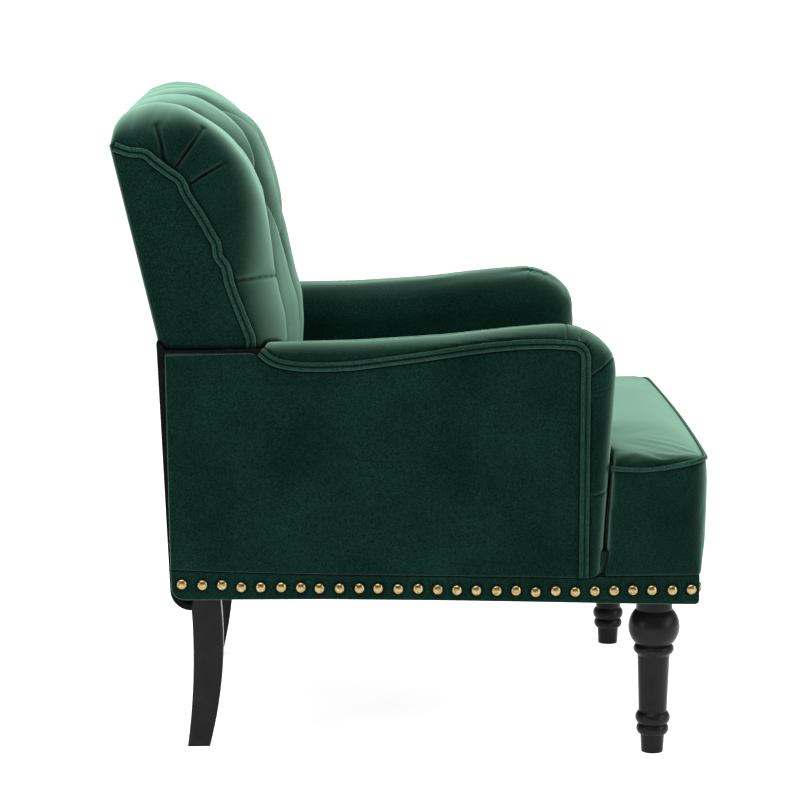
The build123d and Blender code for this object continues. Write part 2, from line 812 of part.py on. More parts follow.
with BuildPart() as button:
    with BuildSketch(Plane.XZ):
        with BuildLine():
            Polyline(
                (0, 0),
                (button_radius, 0),
                (button_radius, 0.28 * button_height),
                (0.7 * button_radius, 0.8 * button_height),
                (0, button_height),
                close=True,
            )
        make_face()
    revolve(axis=Axis.Z)

with BuildPart() as tuft_buttons:
    with Locations(*all_places):
        add(button.part)

# Back unit: covered sides, welts and webbing
with BuildPart() as left_back_side:
    with BuildSketch(Plane.YZ.offset(board_outer)):
        with BuildLine():
            back_side_outline(welt_width + 2 * welt_gap)
        make_face()
    extrude(amount=cover)

with BuildPart() as right_back_side:
    mirror(left_back_side.part, about=Plane.YZ)

with BuildPart() as left_back_welt:
    with BuildLine(Plane.YZ.offset(board_outer)) as back_cord:
        back_edge(welt_width / 2 + welt_gap)
    with BuildSketch(Plane(back_cord.line @ 0, x_dir=(0, -1, 0), z_dir=back_cord.line % 0)):
        with BuildLine():
            double_welt_profile()
        make_face()
    sweep(path=back_cord.wires()[0])

with BuildPart() as right_back_welt:
    mirror(left_back_welt.part, about=Plane.YZ)

with BuildPart() as back_webbing:
    for place in (0.2, 0.34, 0.62):
        behind = pad_plane(place)
        strap = Plane(behind.from_local_coords((0, -3.0, 0)), x_dir=(1, 0, 0), z_dir=behind.y_dir)
        with BuildSketch(strap):
            Rectangle(2 * board_inner, 50.0)
    extrude(amount=-webbing_thickness)

# Legs with their bolts and tee nuts
def swell(start, radius, height, rise, neck):
    """One turned ring or ball from the end of the last curve, at a share of the leg's height."""
    return ThreePointArc(start, (radius, leg_height * height), (neck, leg_height * rise))


with BuildPart() as left_front_leg:
    with BuildSketch(Plane((front_leg_x, front_leg_y, 0), x_dir=(1, 0, 0), z_dir=(0, -1, 0))):
        with BuildLine():
            foot_top = leg_height * 0.122
            foot = Polyline((0, leg_height), (0, 0), (15.5, 0), (17.2, foot_top), (20.0, foot_top))
            toe_ring = swell(foot @ 1, 22.9, 0.153, 0.185, 20.0)
            low_ring = swell(toe_ring @ 1, 24.7, 0.228, 0.27, 20.0)
            shaft = Polyline(low_ring @ 1, (22.9, leg_height * 0.64), (25.0, leg_height * 0.653))
            high_ring = swell(shaft @ 1, 28.8, 0.683, 0.712, 25.0)
            ball = swell(high_ring @ 1, 36.5, 0.834, 0.942, 26.0)
            Polyline(ball @ 1, (25.5, leg_height), (0, leg_height))
        make_face()
    revolve(axis=Axis((front_leg_x, front_leg_y, 0), (0, 0, 1)))
    with Locations((front_leg_x, front_leg_y, leg_height)):
        Hole(bolt_radius + bolt_clearance, depth=bolt_in_leg + 2.0)

with BuildPart() as front_legs:
    add(left_front_leg.part)
    mirror(about=Plane.YZ)

with BuildPart() as left_rear_leg:
    with BuildSketch(Plane.YZ.offset(rear_leg_outer - rear_leg_thickness)):
        with BuildLine():
            top_half = rear_leg_depth / 2
            floor_half = rear_leg_depth * 0.38
            waist_y = rear_leg_y - 0.29 * rear_leg_sweep
            waist_z = leg_height * 0.57
            floor_y = rear_leg_y + rear_leg_sweep
            front_edge = ThreePointArc(
                (rear_leg_y - top_half, leg_height),
                (waist_y - top_half, waist_z),
                (floor_y - floor_half, 0),
            )
            floor_edge = Line(front_edge @ 1, (floor_y + floor_half, 0))
            rear_edge = ThreePointArc(
                floor_edge @ 1,
                (waist_y + top_half, waist_z),
                (rear_leg_y + top_half, leg_height),
            )
            Line(rear_edge @ 1, front_edge @ 0)
        make_face()
    extrude(amount=rear_leg_thickness)
    side_edges = left_rear_leg.edges().filter_by(GeomType.CIRCLE)
    chamfer(side_edges, 1.5)
    with Locations((rear_leg_x, rear_bolt_y, leg_height)):
        Hole(bolt_radius + bolt_clearance, depth=bolt_in_leg + 2.0)

with BuildPart() as rear_legs:
    add(left_rear_leg.part)
    mirror(about=Plane.YZ)

nut_barrel = bolt_radius + 1.0
with BuildPart() as leg_tee_nuts:
    with BuildSketch(Plane.XY.offset(rail_bottom + block_height)):
        with Locations(*leg_bolts):
            Circle(9.0)
    extrude(amount=1.5)
    with BuildSketch(Plane.XY.offset(rail_bottom + block_height)):
        with Locations(*leg_bolts):
            Circle(nut_barrel)
    extrude(amount=-9.0)
    with Locations(*[(x, y, rail_bottom + block_height + 1.5) for x, y in leg_bolts]):
        Hole(bolt_radius + bolt_clearance)

with BuildPart() as leg_hanger_bolts:
    with BuildSketch(Plane.XY.offset(leg_height - bolt_in_leg)):
        with Locations(*leg_bolts):
            Circle(bolt_radius)
    extrude(amount=bolt_in_leg + dust_cover_thickness + block_height)

nodes = {
    "front_seat_rail": front_seat_rail,
    "rear_seat_rail": rear_seat_rail,
    "left_seat_rail": left_seat_rail,
    "right_seat_rail": right_seat_rail,
    "front_corner_blocks": front_corner_blocks,
    "rear_leg_blocks": rear_leg_blocks,
    "left_arm_front_post": left_arm_front_post,
    "right_arm_front_post": right_arm_front_post,
    "left_arm_top_rail": left_arm_top_rail,
    "right_arm_top_rail": right_arm_top_rail,
    "left_rear_post": left_rear_post,
    "right_rear_post": right_rear_post,
    "rear_cross_rail": rear_cross_rail,
    "seat_webbing": seat_webbing,
    "seat_felt": seat_felt,
    "seat_pad": seat_pad,
    "seat_welt": seat_welt,
    "dust_cover": dust_cover,
    "left_arm_pad": left_arm_pad,
    "right_arm_pad": right_arm_pad,
    "left_outside_arm": left_outside_arm,
    "right_outside_arm": right_outside_arm,
    "left_arm_welt": left_arm_welt,
    "right_arm_welt": right_arm_welt,
    "left_band": left_band,
    "right_band": right_band,
    "front_band": front_band,
    "left_nails": left_nails,
    "right_nails": right_nails,
    "front_nails": front_nails,
    "lower_outside_back": lower_outside_back,
    "left_back_board": left_back_board,
    "right_back_board": right_back_board,
    "left_back_stile": left_back_stile,
    "right_back_stile": right_back_stile,
    "back_top_rail": back_top_rail,
    "back_lumbar_rail": back_lumbar_rail,
    "back_bottom_rail": back_bottom_rail,
    "back_bracket_tongues": back_bracket_tongues,
    "back_bracket_plates": back_bracket_plates,
    "back_webbing": back_webbing,
    "back_pad": back_pad,
    "back_lower_pad": back_lower_pad,
    "tuft_buttons": tuft_buttons,
    "outside_back": outside_back,
    "left_back_side": left_back_side,
    "right_back_side": right_back_side,
    "left_back_welt": left_back_welt,
    "right_back_welt": right_back_welt,
    "front_legs": front_legs,
    "rear_legs": rear_legs,
    "leg_hanger_bolts": leg_hanger_bolts,
    "leg_tee_nuts": leg_tee_nuts,
}
os.makedirs("parts", exist_ok=True)
for name, node in nodes.items():
    node.part.label = name
    export_step(node.part, f"parts/{name}.step")
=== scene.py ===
"""Tufted club chair: velvet pads, welts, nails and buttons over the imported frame, seen from its right."""

import json
import math

import bmesh
import bpy
import numpy as np
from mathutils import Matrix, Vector


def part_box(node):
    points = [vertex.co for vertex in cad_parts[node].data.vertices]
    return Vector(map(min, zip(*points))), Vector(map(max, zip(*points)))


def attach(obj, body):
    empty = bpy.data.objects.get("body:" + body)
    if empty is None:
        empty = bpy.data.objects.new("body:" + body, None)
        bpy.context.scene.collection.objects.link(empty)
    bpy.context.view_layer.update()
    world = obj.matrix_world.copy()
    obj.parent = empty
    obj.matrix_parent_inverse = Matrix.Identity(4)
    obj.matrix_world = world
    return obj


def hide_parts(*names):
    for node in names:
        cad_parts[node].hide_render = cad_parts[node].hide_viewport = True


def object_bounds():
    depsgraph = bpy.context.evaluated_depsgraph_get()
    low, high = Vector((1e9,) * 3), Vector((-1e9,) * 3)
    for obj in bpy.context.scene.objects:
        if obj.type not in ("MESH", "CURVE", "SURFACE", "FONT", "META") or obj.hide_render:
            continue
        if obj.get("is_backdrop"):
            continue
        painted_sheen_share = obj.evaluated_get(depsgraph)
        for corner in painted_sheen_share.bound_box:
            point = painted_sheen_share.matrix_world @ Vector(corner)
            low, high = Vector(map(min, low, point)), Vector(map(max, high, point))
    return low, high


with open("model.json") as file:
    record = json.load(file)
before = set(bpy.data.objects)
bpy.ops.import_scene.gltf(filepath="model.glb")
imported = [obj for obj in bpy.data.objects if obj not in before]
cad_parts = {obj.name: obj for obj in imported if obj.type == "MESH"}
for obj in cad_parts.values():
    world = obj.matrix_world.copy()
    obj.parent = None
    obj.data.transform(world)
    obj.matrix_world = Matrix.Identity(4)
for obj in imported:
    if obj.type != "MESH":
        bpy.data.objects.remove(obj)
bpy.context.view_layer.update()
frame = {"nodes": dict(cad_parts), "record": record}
nodes = frame["nodes"]
MM = 0.001

# Places read from the frame, in millimetres
base_low, base_high = [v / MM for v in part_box("lower_outside_back")]
BASE_REAR = base_high.y
JOINT = base_high.z
BASE_LOW = base_low.z
BASE_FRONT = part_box("front_band")[0].y / MM
REAR_TAPER = 11.0  # the lower outside back draws in towards the floor
COVER_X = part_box("left_outside_arm")[1].x / MM
ARM_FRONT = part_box("left_arm_pad")[0].y / MM
ARM_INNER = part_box("left_arm_pad")[0].x / MM
BACK_SIDE_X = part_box("left_back_side")[1].x / MM
SEAT_WELT_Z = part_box("seat_welt")[1].z / MM - 3.5
SEAT_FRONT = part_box("seat_pad")[0].y / MM

# Camera, fitted to the photograph
CAMERA_PLACE = (-4.0833, 0.1283, 1.1577)
CAMERA_PAN = -1.699  # degrees from +X towards -Y
CAMERA_TILT = 9.705  # degrees down
CAMERA_LENS = 123.46

# Tufting, in millimetres
TUFT_PITCH = 140.0
BUTTON_RADIUS, BUTTON_HEIGHT, BUTTON_LIFT = 13.0, 8.0, 3.0
BUTTON_PULL, BUTTON_REACH = 9.0, 20.0  # hollow round a button
# Pleats: depth at the start, middle and end, and width
DIAMOND_PLEAT = (24.0, 15.0, 24.0, 17.0)
TOP_PLEAT = (24.0, 11.0, 5.0, 17.0)
FOOT_PLEAT = (24.0, 15.0, 11.0, 17.0)
LOWER_PLEAT = (9.0, 11.0, 11.0, 17.0)
SIDE_CREASE = (5.0, 5.0, 4.0, 3.2)
GATHER_FOLD, GATHER_HOLLOW = (5.0, 8.0, 3.0, 2.8), (4.0, 4.5, 0.0, 9.0)
SIDE_ROUND = 66.0
SIDE_POWER = 2.6
# Thinner sides of the pad: stations, and the share of the thickness lost there
PAD_CROWN = [0, 1, 2, 3, 4, 5, 6, 8], [0.29, 0.23, 0.175, 0.225, 0.16, 0.05, 0.02, 0.0]
CROWN_FROM, CROWN_TO = 60.0, 215.0  # from the middle, where the pad gets thinner
SLOPING_TO, SLOPING_OVER = 1.95, 0.9  # stations up to which the sides slope in from the welt
SHOULDER_FROM, SHOULDER_TO, TOP_FROM = 2.0, 4.6, 4.0  # stations
# Change of the sides' rounding, and of its fullness, at the foot, the shoulder and the top
SIDE_CHANGE = (34.0, -16.0, 14.0)
POWER_CHANGE = (-0.9, 0.5, -0.6)
SIDE_LIMIT = 1.5  # of the rounding, as a share of the thickness
PAD_TURN_IN = 12.0  # cover behind the welt
BACK_HALF = BACK_SIDE_X - 0.5
# Side profile of the back pad: edge point and outer point, from the rear of the base and the joint
PAD_STATIONS = [
    (-125.4, 1.0, -196.0, 1.0),
    (-101.7, 86.0, -178.0, 106.0),
    (-73.8, 179.0, -156.0, 211.5),
    (-47.5, 222.0, -125.0, 288.0),
    (-9.4, 256.0, -58.0, 333.5),
    (24.0, 272.0, -1.5, 338.0),
    (46.0, 277.5, 39.0, 325.5),
    (55.0, 279.5, 57.0, 308.0),
    (58.5, 280.0, 63.0, 284.0),
]
# The same for the inside back below the joint
LOWER_STATIONS = [
    (-138.0, -185.0, -190.5, -185.0), (-131.0, -66.0, -194.0, -66.0), (-125.4, 0.0, -196.6, 0.0),
    (-123.0, 15.0, -190.0, 15.0),
]
LOWER_CROWN = 0.28
PLEAT_ROUND = 2.2  # round bottom of the pleats
PAD_BELLY, BELLY_AT, BELLY_REACH = 0.055, 0.33, 0.25  # share of the thickness, and stations
ROW_LOW, ROW_MIDDLE, ROW_HIGH = 1, 2, 4  # stations that carry the button rows
# Gathers at the back's shoulder: station at the welt, station at the end, length
GATHERS = [(3.88, 4.75, 84.0), (3.65, 3.70, 100.0), (3.15, 2.95, 84.0)]
# Middle of the double welt on the back's sides, from the rear of the base and the joint
BACK_WELT = [
    (-125.4, -0.2), (-125.4, 15.0), (-119.4, 31.0), (-107.4, 62.0), (-97.4, 90.0), (-92.4, 113.0),
    (-82.4, 128.0), (-79.4, 146.0), (-72.4, 159.0), (-58.4, 184.0), (-40.4, 212.0), (-31.4, 232.0),
    (-18.4, 242.0), (1.6, 257.0), (16.6, 269.0), (38.6, 272.0), (58.0, 279.0),
]
# Folds on the arms' outer fronts, from the arm front and the joint
ARM_FOLDS = [
    ((69.0, 37.0), (69.0, 10.0), 1.6),
    ((51.0, 14.0), (41.0, 24.0), 1.4),
    ((34.0, -37.0), (2.0, -18.0), 2.2),
    ((32.0, -61.0), (11.0, -59.0), 0.8),
    ((31.0, -67.0), (19.0, -68.0), 0.7),
    ((32.0, -207.0), (10.0, -207.0), 0.9),
]

# Seam above the band and lower edge of the base along the sides: place and height
SEAM_LINE = [
    (-402.0, 268.0), (-298.0, 267.0), (-206.0, 266.6), (139.0, 273.7), (252.0, 277.3), (345.0, 281.5),
]
UNDERSIDE = [
    (-402.0, 227.0), (-304.0, 228.6), (-206.0, 231.3), (-38.0, 235.4), (131.0, 238.1), (302.0, 238.5),
]
SEAM_GAP = 0.6  # each side of the seam
REAR_ROLL = 18.0  # round lower rear corner of the side bands
NAIL_DROP = 18.6  # nails below the seam
NAIL_RADIUS, NAIL_HEIGHT, NAIL_SUNK, NAIL_STRAY = 7.1, 4.4, 1.2, 0.7
SEAM_REAR = 281.0  # height of the seam at the rear
REAR_EDGE = [SEAM_REAR, 590.0], [2.0, 7.8]  # side covers stop short of the rear by this much, by height, so the near-black lower back cover shows behind them; its blackness stands partly for shade there (painted shade)
REAR_SPREAD = 4.2  # how far the lower outside back stands out at the joint
REAR_LIP = 11.0  # how far it rises behind the back unit
BACK_OVERHANG = 6.0  # back covers below the joint
BACK_ROLL = 6.5  # rounded rear edges of the back
BACK_CROWN = 3.0  # of the outside back

# Double welt
WELT_RADIUS = 3.4
WELT_SHIFT = 3.5  # of each cord from their middle
WELT_SUNK = 0.6
FLANGE_HALF, FLANGE_TOP, FLANGE_BACK = 8.6, 3.8, 4.6  # half width, and depths below the cover
COVER_THICK = 5.0


# Helpers
def linked(name, data):
    """A new object in the scene."""
    obj = bpy.data.objects.new(name, data)
    bpy.context.scene.collection.objects.link(obj)
    return obj


def add_object(name, mesh, material, replaced, smooth_angle=None, flat_axis=None):
    """Links a mesh as a piece of the chair, its broad faces across an axis kept flat."""
    obj = linked(name, mesh)
    mesh.materials.clear()
    mesh.materials.append(material)
    mesh.shade_smooth()
    if smooth_angle:
        mesh.set_sharp_from_angle(angle=math.radians(smooth_angle))
    if flat_axis is not None:
        for face in mesh.polygons:
            face.use_smooth = abs(face.normal[flat_axis]) < 0.999
    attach(obj, "root")
    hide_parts(*replaced)
    return obj


def edited(mesh, change, *added):
    """Joins other meshes to a mesh and changes it."""
    bm = bmesh.new()
    for source in (mesh, *added):
        bm.from_mesh(source)
    change(bm)
    bm.to_mesh(mesh)
    bm.free()
    return mesh


def outward(mesh, *added):
    """Joins other meshes to a mesh and turns its faces outwards."""
    return edited(mesh, lambda bm: bmesh.ops.recalc_face_normals(bm, faces=bm.faces), *added)


def welded_copy(node):
    """A copy of a CAD node's mesh with its faces joined."""
    copy = nodes[node].data.copy()
    return edited(copy, lambda bm: bmesh.ops.remove_doubles(bm, verts=bm.verts, dist=2e-5))


def evaluated_mesh(obj):
    """The mesh of an object with its modifiers applied."""
    graph = bpy.context.evaluated_depsgraph_get()
    return bpy.data.meshes.new_from_object(obj.evaluated_get(graph))


def even_mesh(mesh, voxel):
    """An evenly meshed copy of a closed mesh."""
    obj = linked("source", mesh)
    remesh = obj.modifiers.new("even", "REMESH")
    remesh.mode = "VOXEL"
    remesh.voxel_size = voxel * MM
    result = evaluated_mesh(obj)
    bpy.data.objects.remove(obj)
    return result


def coordinates(mesh):
    """Vertex places as an array, in metres."""
    flat = np.empty(len(mesh.vertices) * 3)
    mesh.vertices.foreach_get("co", flat)
    return flat.reshape(-1, 3)


def set_coordinates(mesh, places):
    """Writes vertex places back to a mesh."""
    mesh.vertices.foreach_set("co", np.ascontiguousarray(places).ravel())
    mesh.update()


CLOTH_STEPS = 20


def inflate(mesh, held, pressure, cap):
    """Swells a pad by cloth pressure with some points held; no point moves more than the cap, in mm."""
    obj = linked("cloth_pad", mesh)
    group = obj.vertex_groups.new(name="held")
    group.add([int(i) for i in np.flatnonzero(held)], 1.0, "REPLACE")
    cloth = obj.modifiers.new("cloth", "CLOTH")
    cloth.settings.quality = 4
    cloth.settings.use_pressure = True
    cloth.settings.uniform_pressure_force = pressure
    cloth.settings.effector_weights.gravity = 0.0
    cloth.settings.vertex_group_mass = "held"
    cloth.point_cache.frame_start = 1
    cloth.point_cache.frame_end = CLOTH_STEPS
    for step in range(1, CLOTH_STEPS + 1):
        bpy.context.scene.frame_set(step)
    swollen = evaluated_mesh(obj)
    start, end = coordinates(mesh), coordinates(swollen)
    move = end - start
    length = np.linalg.norm(move, axis=1, keepdims=True)
    limit = cap * MM
    move *= limit * np.tanh(length / limit) / np.maximum(length, 1e-9)
    bpy.context.scene.frame_set(1)
    bpy.data.objects.remove(obj)
    set_coordinates(mesh, start + move)
    return mesh


def catmull_rom(rows, count):
    """Points on a smooth curve through the rows, and the place of each along them."""
    rows = np.array(rows, float)
    padded = np.vstack([2 * rows[0] - rows[1], rows, 2 * rows[-1] - rows[-2]])
    places = np.linspace(0, len(rows) - 1, count)
    first = np.minimum(places.astype(int), len(rows) - 2)
    t = (places - first)[:, None]
    a, b, c, d = (padded[first + i] for i in range(4))
    curve = 0.5 * (2 * b + (c - a) * t + (2 * a - 5 * b + 4 * c - d) * t**2 + (3 * b - a - 3 * c + d) * t**3)
    return curve, places


def segment_distance(q, s, start, end):
    """Distance of surface points to a pleat, and the share of the pleat passed."""
    run = np.array(end, float) - np.array(start, float)
    share = ((q - start[0]) * run[0] + (s - start[1]) * run[1]) / max(run @ run, 1e-9)
    share = np.clip(share, 0, 1)
    return np.hypot(q - start[0] - share * run[0], s - start[1] - share * run[1]), share


def offset_line(line, distance):
    """A line of points in the side view moved sideways, to the right of its run."""
    line = np.array(line, float)
    along = np.gradient(line, axis=0)
    along /= np.linalg.norm(along, axis=1, keepdims=True)
    return line + np.stack([along[:, 1], -along[:, 0]], axis=1) * distance


def ring_faces(rings, sides, capped=True):
    """Faces between rings of points, with the first and last ring closed."""
    faces = []
    for i in range(rings - 1):
        for k in range(sides):
            a, b = i * sides + k, i * sides + (k + 1) % sides
            faces.append((a, b, b + sides, a + sides))
    if capped:
        faces.append(tuple(range(sides))[::-1])
        faces.append(tuple((rings - 1) * sides + k for k in range(sides)))
    return faces


def tube(points, radius, sides=10):
    """A closed round tube along points in millimetres, as vertices and faces."""
    points = np.array(points, float)
    along = np.gradient(points, axis=0)
    along /= np.linalg.norm(along, axis=1, keepdims=True)
    verts = []
    across = Vector(along[0]).orthogonal().normalized()
    for i, place in enumerate(points):
        direction = Vector(along[i])
        across = (across - direction * across.dot(direction)).normalized()
        other = direction.cross(across)
        for k in range(sides):
            angle = 2 * math.pi * k / sides
            verts.append(Vector(place) + (across * math.cos(angle) + other * math.sin(angle)) * radius)
    return verts, ring_faces(len(points), sides)


def mesh_from(name, shapes):
    """One mesh from several lists of vertices, in millimetres, and faces."""
    verts, faces = [], []
    for shape_verts, shape_faces in shapes:
        offset = len(verts)
        verts += [Vector(v) * MM for v in shape_verts]
        faces += [tuple(i + offset for i in face) for face in shape_faces]
    mesh = bpy.data.meshes.new(name)
    mesh.from_pydata(verts, [], faces)
    mesh.update()
    return mesh


def height_on(line, y):
    """Height of a line of places and heights at a place."""
    return np.interp(y, [point[0] for point in line], [point[1] for point in line])


def slab(outline, inner, outer):
    """A flat slab with an outline in the side view, from one x to another, as vertices and faces."""
    count = len(outline)
    verts = [(inner, y, z) for y, z in outline] + [(outer, y, z) for y, z in outline]
    faces = [tuple(range(count)), tuple(range(2 * count - 1, count - 1, -1))]
    faces += [(i, (i + 1) % count, (i + 1) % count + count, i + count) for i in range(count)]
    return verts, faces


def from_rear(points):
    """Points of the side view given from the rear of the base and the joint."""
    return [(BASE_REAR + y, JOINT + z) for y, z in points]


def from_arm_front(points):
    """Points of the side view given from the arm front and the joint."""
    return [(ARM_FRONT + y, JOINT + z) for y, z in points]


# Materials
def shader(name):
    """A new node material with its nodes, links and main shader."""
    material = bpy.data.materials.new(name)
    material.use_nodes = True
    tree = material.node_tree
    return material, tree, tree.nodes["Principled BSDF"]


def feed(tree, node, inputs):
    """Sets or links sockets of a node, by their names or numbers."""
    for key, value in inputs.items():
        if isinstance(value, bpy.types.NodeSocket):
            tree.links.new(value, node.inputs[key])
        else:
            node.inputs[key].default_value = value
    return node


def new_node(tree, kind, inputs, **settings):
    """A shader node with its settings and sockets."""
    node = tree.nodes.new("ShaderNode" + kind)
    for key, value in settings.items():
        setattr(node, key, value)
    return feed(tree, node, inputs)


def object_place(tree):
    """Coordinates in object space, in metres."""
    return new_node(tree, "TexCoord", {}).outputs["Object"]


def calculated(tree, operation, *values):
    """Result of a calculation."""
    return new_node(tree, "Math", dict(enumerate(values)), operation=operation).outputs["Value"]


def mixed(tree, factor, first, second, blend="MIX"):
    """Two colours mixed by a factor."""
    inputs = {"Factor": factor, "A": first, "B": second}
    return new_node(tree, "Mix", inputs, data_type="RGBA", blend_type=blend).outputs["Result"]


def grey(value):
    """A colour without hue."""
    return (value, value, value, 1)


def noise(tree, scale, detail=3.0, rough=0.55):
    """Noise in object space, at so many cycles a metre."""
    inputs = {"Vector": object_place(tree), "Scale": scale, "Detail": detail, "Roughness": rough}
    return new_node(tree, "TexNoise", inputs).outputs["Fac"]


def ramp(tree, factor, stops):
    """A colour ramp over a factor."""
    node = tree.nodes.new("ShaderNodeValToRGB")
    node.color_ramp.elements[0].position, node.color_ramp.elements[0].color = stops[0]
    node.color_ramp.elements[1].position, node.color_ramp.elements[1].color = stops[1]
    for position, colour in stops[2:]:
        element = node.color_ramp.elements.new(position)
        element.color = colour
    tree.links.new(factor, node.inputs["Fac"])
    return node.outputs["Color"]


def bump(tree, bsdf, height, strength, distance, below=None):
    """A bump from a height into the shader, over another one if given."""
    inputs = {"Height": height, "Strength": strength, "Distance": distance}
    if below is not None:
        inputs["Normal"] = below
    normal = new_node(tree, "Bump", inputs).outputs["Normal"]
    feed(tree, bsdf, {"Normal": normal})
    return normal


def velvet(name, dark, light, painted_sheen, sheen, sheen_fade=None):
    """Cut velvet: cloudy nap, short pile, and a broad pale painted sheen: Layer Weight mixes a pale colour
    into the base colour where the surface is seen edge-on.

    In seams and creases ambient occlusion darkens the colour and takes the painted sheen away: painted shade.
    Where a fade is given, the painted sheen is weak up to one distance from the chair's middle plane and full
    from another, in metres: painted shade on the arms' inner faces.
    """
    material, tree, bsdf = shader(name)
    cloud = ramp(tree, noise(tree, 9.0, 5.0, 0.6), [(0.32, (*dark, 1)), (0.72, (*light, 1))])
    fleck = ramp(tree, noise(tree, 520.0, 2.0), [(0.3, grey(0.35)), (0.75, grey(1.8))])
    flecked = mixed(tree, 1.0, cloud, fleck, "MULTIPLY")
    # Painted sheen: the Layer Weight facing mixes a pale green into the base colour where the surface is seen
    # edge-on.
    facing = new_node(tree, "LayerWeight", {}).outputs["Facing"]
    # Painted shade: ambient occlusion darkens the colour in seams and creases and takes the painted sheen out
    # of them.
    hollow = new_node(tree, "AmbientOcclusion", {"Distance": CREASE_SHADE_REACH}, samples=6).outputs["AO"]
    crease_unshaded = calculated(tree, "POWER", hollow, CREASE_SHADE_FALLOFF)
    painted_sheen_share = calculated(tree, "MULTIPLY", calculated(tree, "POWER", facing, PAINTED_SHEEN_FALLOFF), crease_unshaded)
    # Painted shade: the painted sheen fades towards the chair's middle plane, so the arms' inner faces stay
    # darker.
    if sheen_fade:
        split = new_node(tree, "SeparateXYZ", {"Vector": object_place(tree)})
        aside = calculated(tree, "ABSOLUTE", split.outputs["X"])
        reach = {"Value": aside, "From Min": sheen_fade[0], "From Max": sheen_fade[1], "To Min": INNER_SHEEN_LEFT}
        outwards = new_node(tree, "MapRange", reach, interpolation_type="SMOOTHSTEP")
        painted_sheen_share = calculated(tree, "MULTIPLY", painted_sheen_share, outwards.outputs["Result"])
    crease_shaded_colour = mixed(tree, crease_unshaded, (*(CREASE_PAINTED_SHADE * c for c in dark), 1), flecked)
    feed(tree, bsdf, {
        "Base Color": mixed(tree, painted_sheen_share, crease_shaded_colour, (*painted_sheen, 1)),
        "Roughness": 0.82,
        "Specular IOR Level": 0.03,
        "Sheen Weight": 0.15,
        "Sheen Roughness": 0.3,
        "Sheen Tint": (*sheen, 1),
    })
    pile = bump(tree, bsdf, noise(tree, 420.0, 2.0), 0.35, 0.0010)
    bump(tree, bsdf, noise(tree, 26.0, 4.0), 0.25, 0.0025, pile)
    return material


def painted_wood(name, colour):
    """Black satin lacquer over wood, with faint grain and brush marks."""
    material, tree, bsdf = shader(name)
    tone = ramp(tree, noise(tree, 40.0, 4.0), [(0.3, (*colour, 1)), (0.8, (*(2.2 * c for c in colour), 1))])
    gloss = ramp(tree, noise(tree, 25.0, 3.0), [(0.2, grey(0.24)), (0.9, grey(0.38))])
    feed(tree, bsdf, {"Base Color": tone, "Roughness": gloss, "Specular IOR Level": 0.11})
    bump(tree, bsdf, noise(tree, 160.0, 3.0), 0.08, 0.0006)
    return material


def antique_brass(name):
    """Aged brass: dark and rubbed patches with uneven polish."""
    material, tree, bsdf = shader(name)
    stops = [(0.3, (0.18, 0.128, 0.05, 1)), (0.7, (0.46, 0.35, 0.17, 1))]
    tone = ramp(tree, noise(tree, 300.0, 3.0), stops)
    gloss = ramp(tree, noise(tree, 420.0, 2.0), [(0.2, grey(0.18)), (0.9, grey(0.34))])
    feed(tree, bsdf, {"Base Color": tone, "Roughness": gloss, "Metallic": 1.0})
    bump(tree, bsdf, noise(tree, 700.0, 2.0), 0.1, 0.0003)
    return material


def woven_cloth(name, dark, light, scale):
    """Plain woven cloth: two cloudy tones and a fine raised weave."""
    material, tree, bsdf = shader(name)
    weave = new_node(tree, "TexChecker", {"Vector": object_place(tree), "Scale": scale})
    tone = ramp(tree, noise(tree, 90.0, 4.0), [(0.3, (*dark, 1)), (0.75, (*light, 1))])
    feed(tree, bsdf, {"Base Color": tone, "Roughness": 0.9, "Specular IOR Level": 0.05})
    bump(tree, bsdf, weave.outputs["Fac"], 0.2, 0.0005)
    return material


def raw_wood(name):
    """Frame timber: stretched grain in two browns."""
    material, tree, bsdf = shader(name)
    stretch = new_node(tree, "Mapping", {"Vector": object_place(tree), "Scale": (30.0, 6.0, 30.0)})
    inputs = {"Vector": stretch.outputs["Vector"], "Scale": 4.0, "Detail": 6.0}
    grain = new_node(tree, "TexNoise", inputs).outputs["Fac"]
    tone = ramp(tree, grain, [(0.3, (0.30, 0.19, 0.10, 1)), (0.7, (0.46, 0.32, 0.18, 1))])
    feed(tree, bsdf, {"Base Color": tone, "Roughness": 0.7})
    bump(tree, bsdf, grain, 0.2, 0.0005)
    return material


def brushed_steel(name):
    """Zinc-plated steel in two greys."""
    material, tree, bsdf = shader(name)
    tone = ramp(tree, noise(tree, 200.0, 3.0), [(0.3, (0.42, 0.42, 0.43, 1)), (0.8, grey(0.6))])
    feed(tree, bsdf, {"Base Color": tone, "Metallic": 1.0, "Roughness": 0.35})
    return material


GREEN_DARK = (0.0012, 0.0100, 0.0070)
GREEN_LIGHT = (0.0030, 0.0190, 0.0134)
# Cords: a lit copy of the velvet, several times lighter in colour to stand for the light on their tops
# (painted light), with a dimmer painted sheen.
GREEN_CORD_LIT_DARK = (0.0060, 0.0270, 0.0190)
GREEN_CORD_LIT_LIGHT = (0.0120, 0.0460, 0.0330)
# Painted sheen: the pale colour mixed into the velvet's base colour where it is seen edge-on, and how sharply
# it comes in.
GREEN_PAINTED_SHEEN = (0.22, 0.40, 0.305)
GREEN_CORD_PAINTED_SHEEN = (0.10, 0.20, 0.15)
GREEN_SHEEN = (0.44, 0.80, 0.60)
PAINTED_SHEEN_FALLOFF = 1.8
CREASE_SHADE_REACH = 0.007  # metres, reach of the painted shade in creases
CREASE_SHADE_FALLOFF = 6.0
CREASE_PAINTED_SHADE = 0.25  # of the dark colour: painted shade in seams and creases
INNER_SHEEN_LEFT = 0.15  # share of the painted sheen left on the arms' inner faces: painted shade there
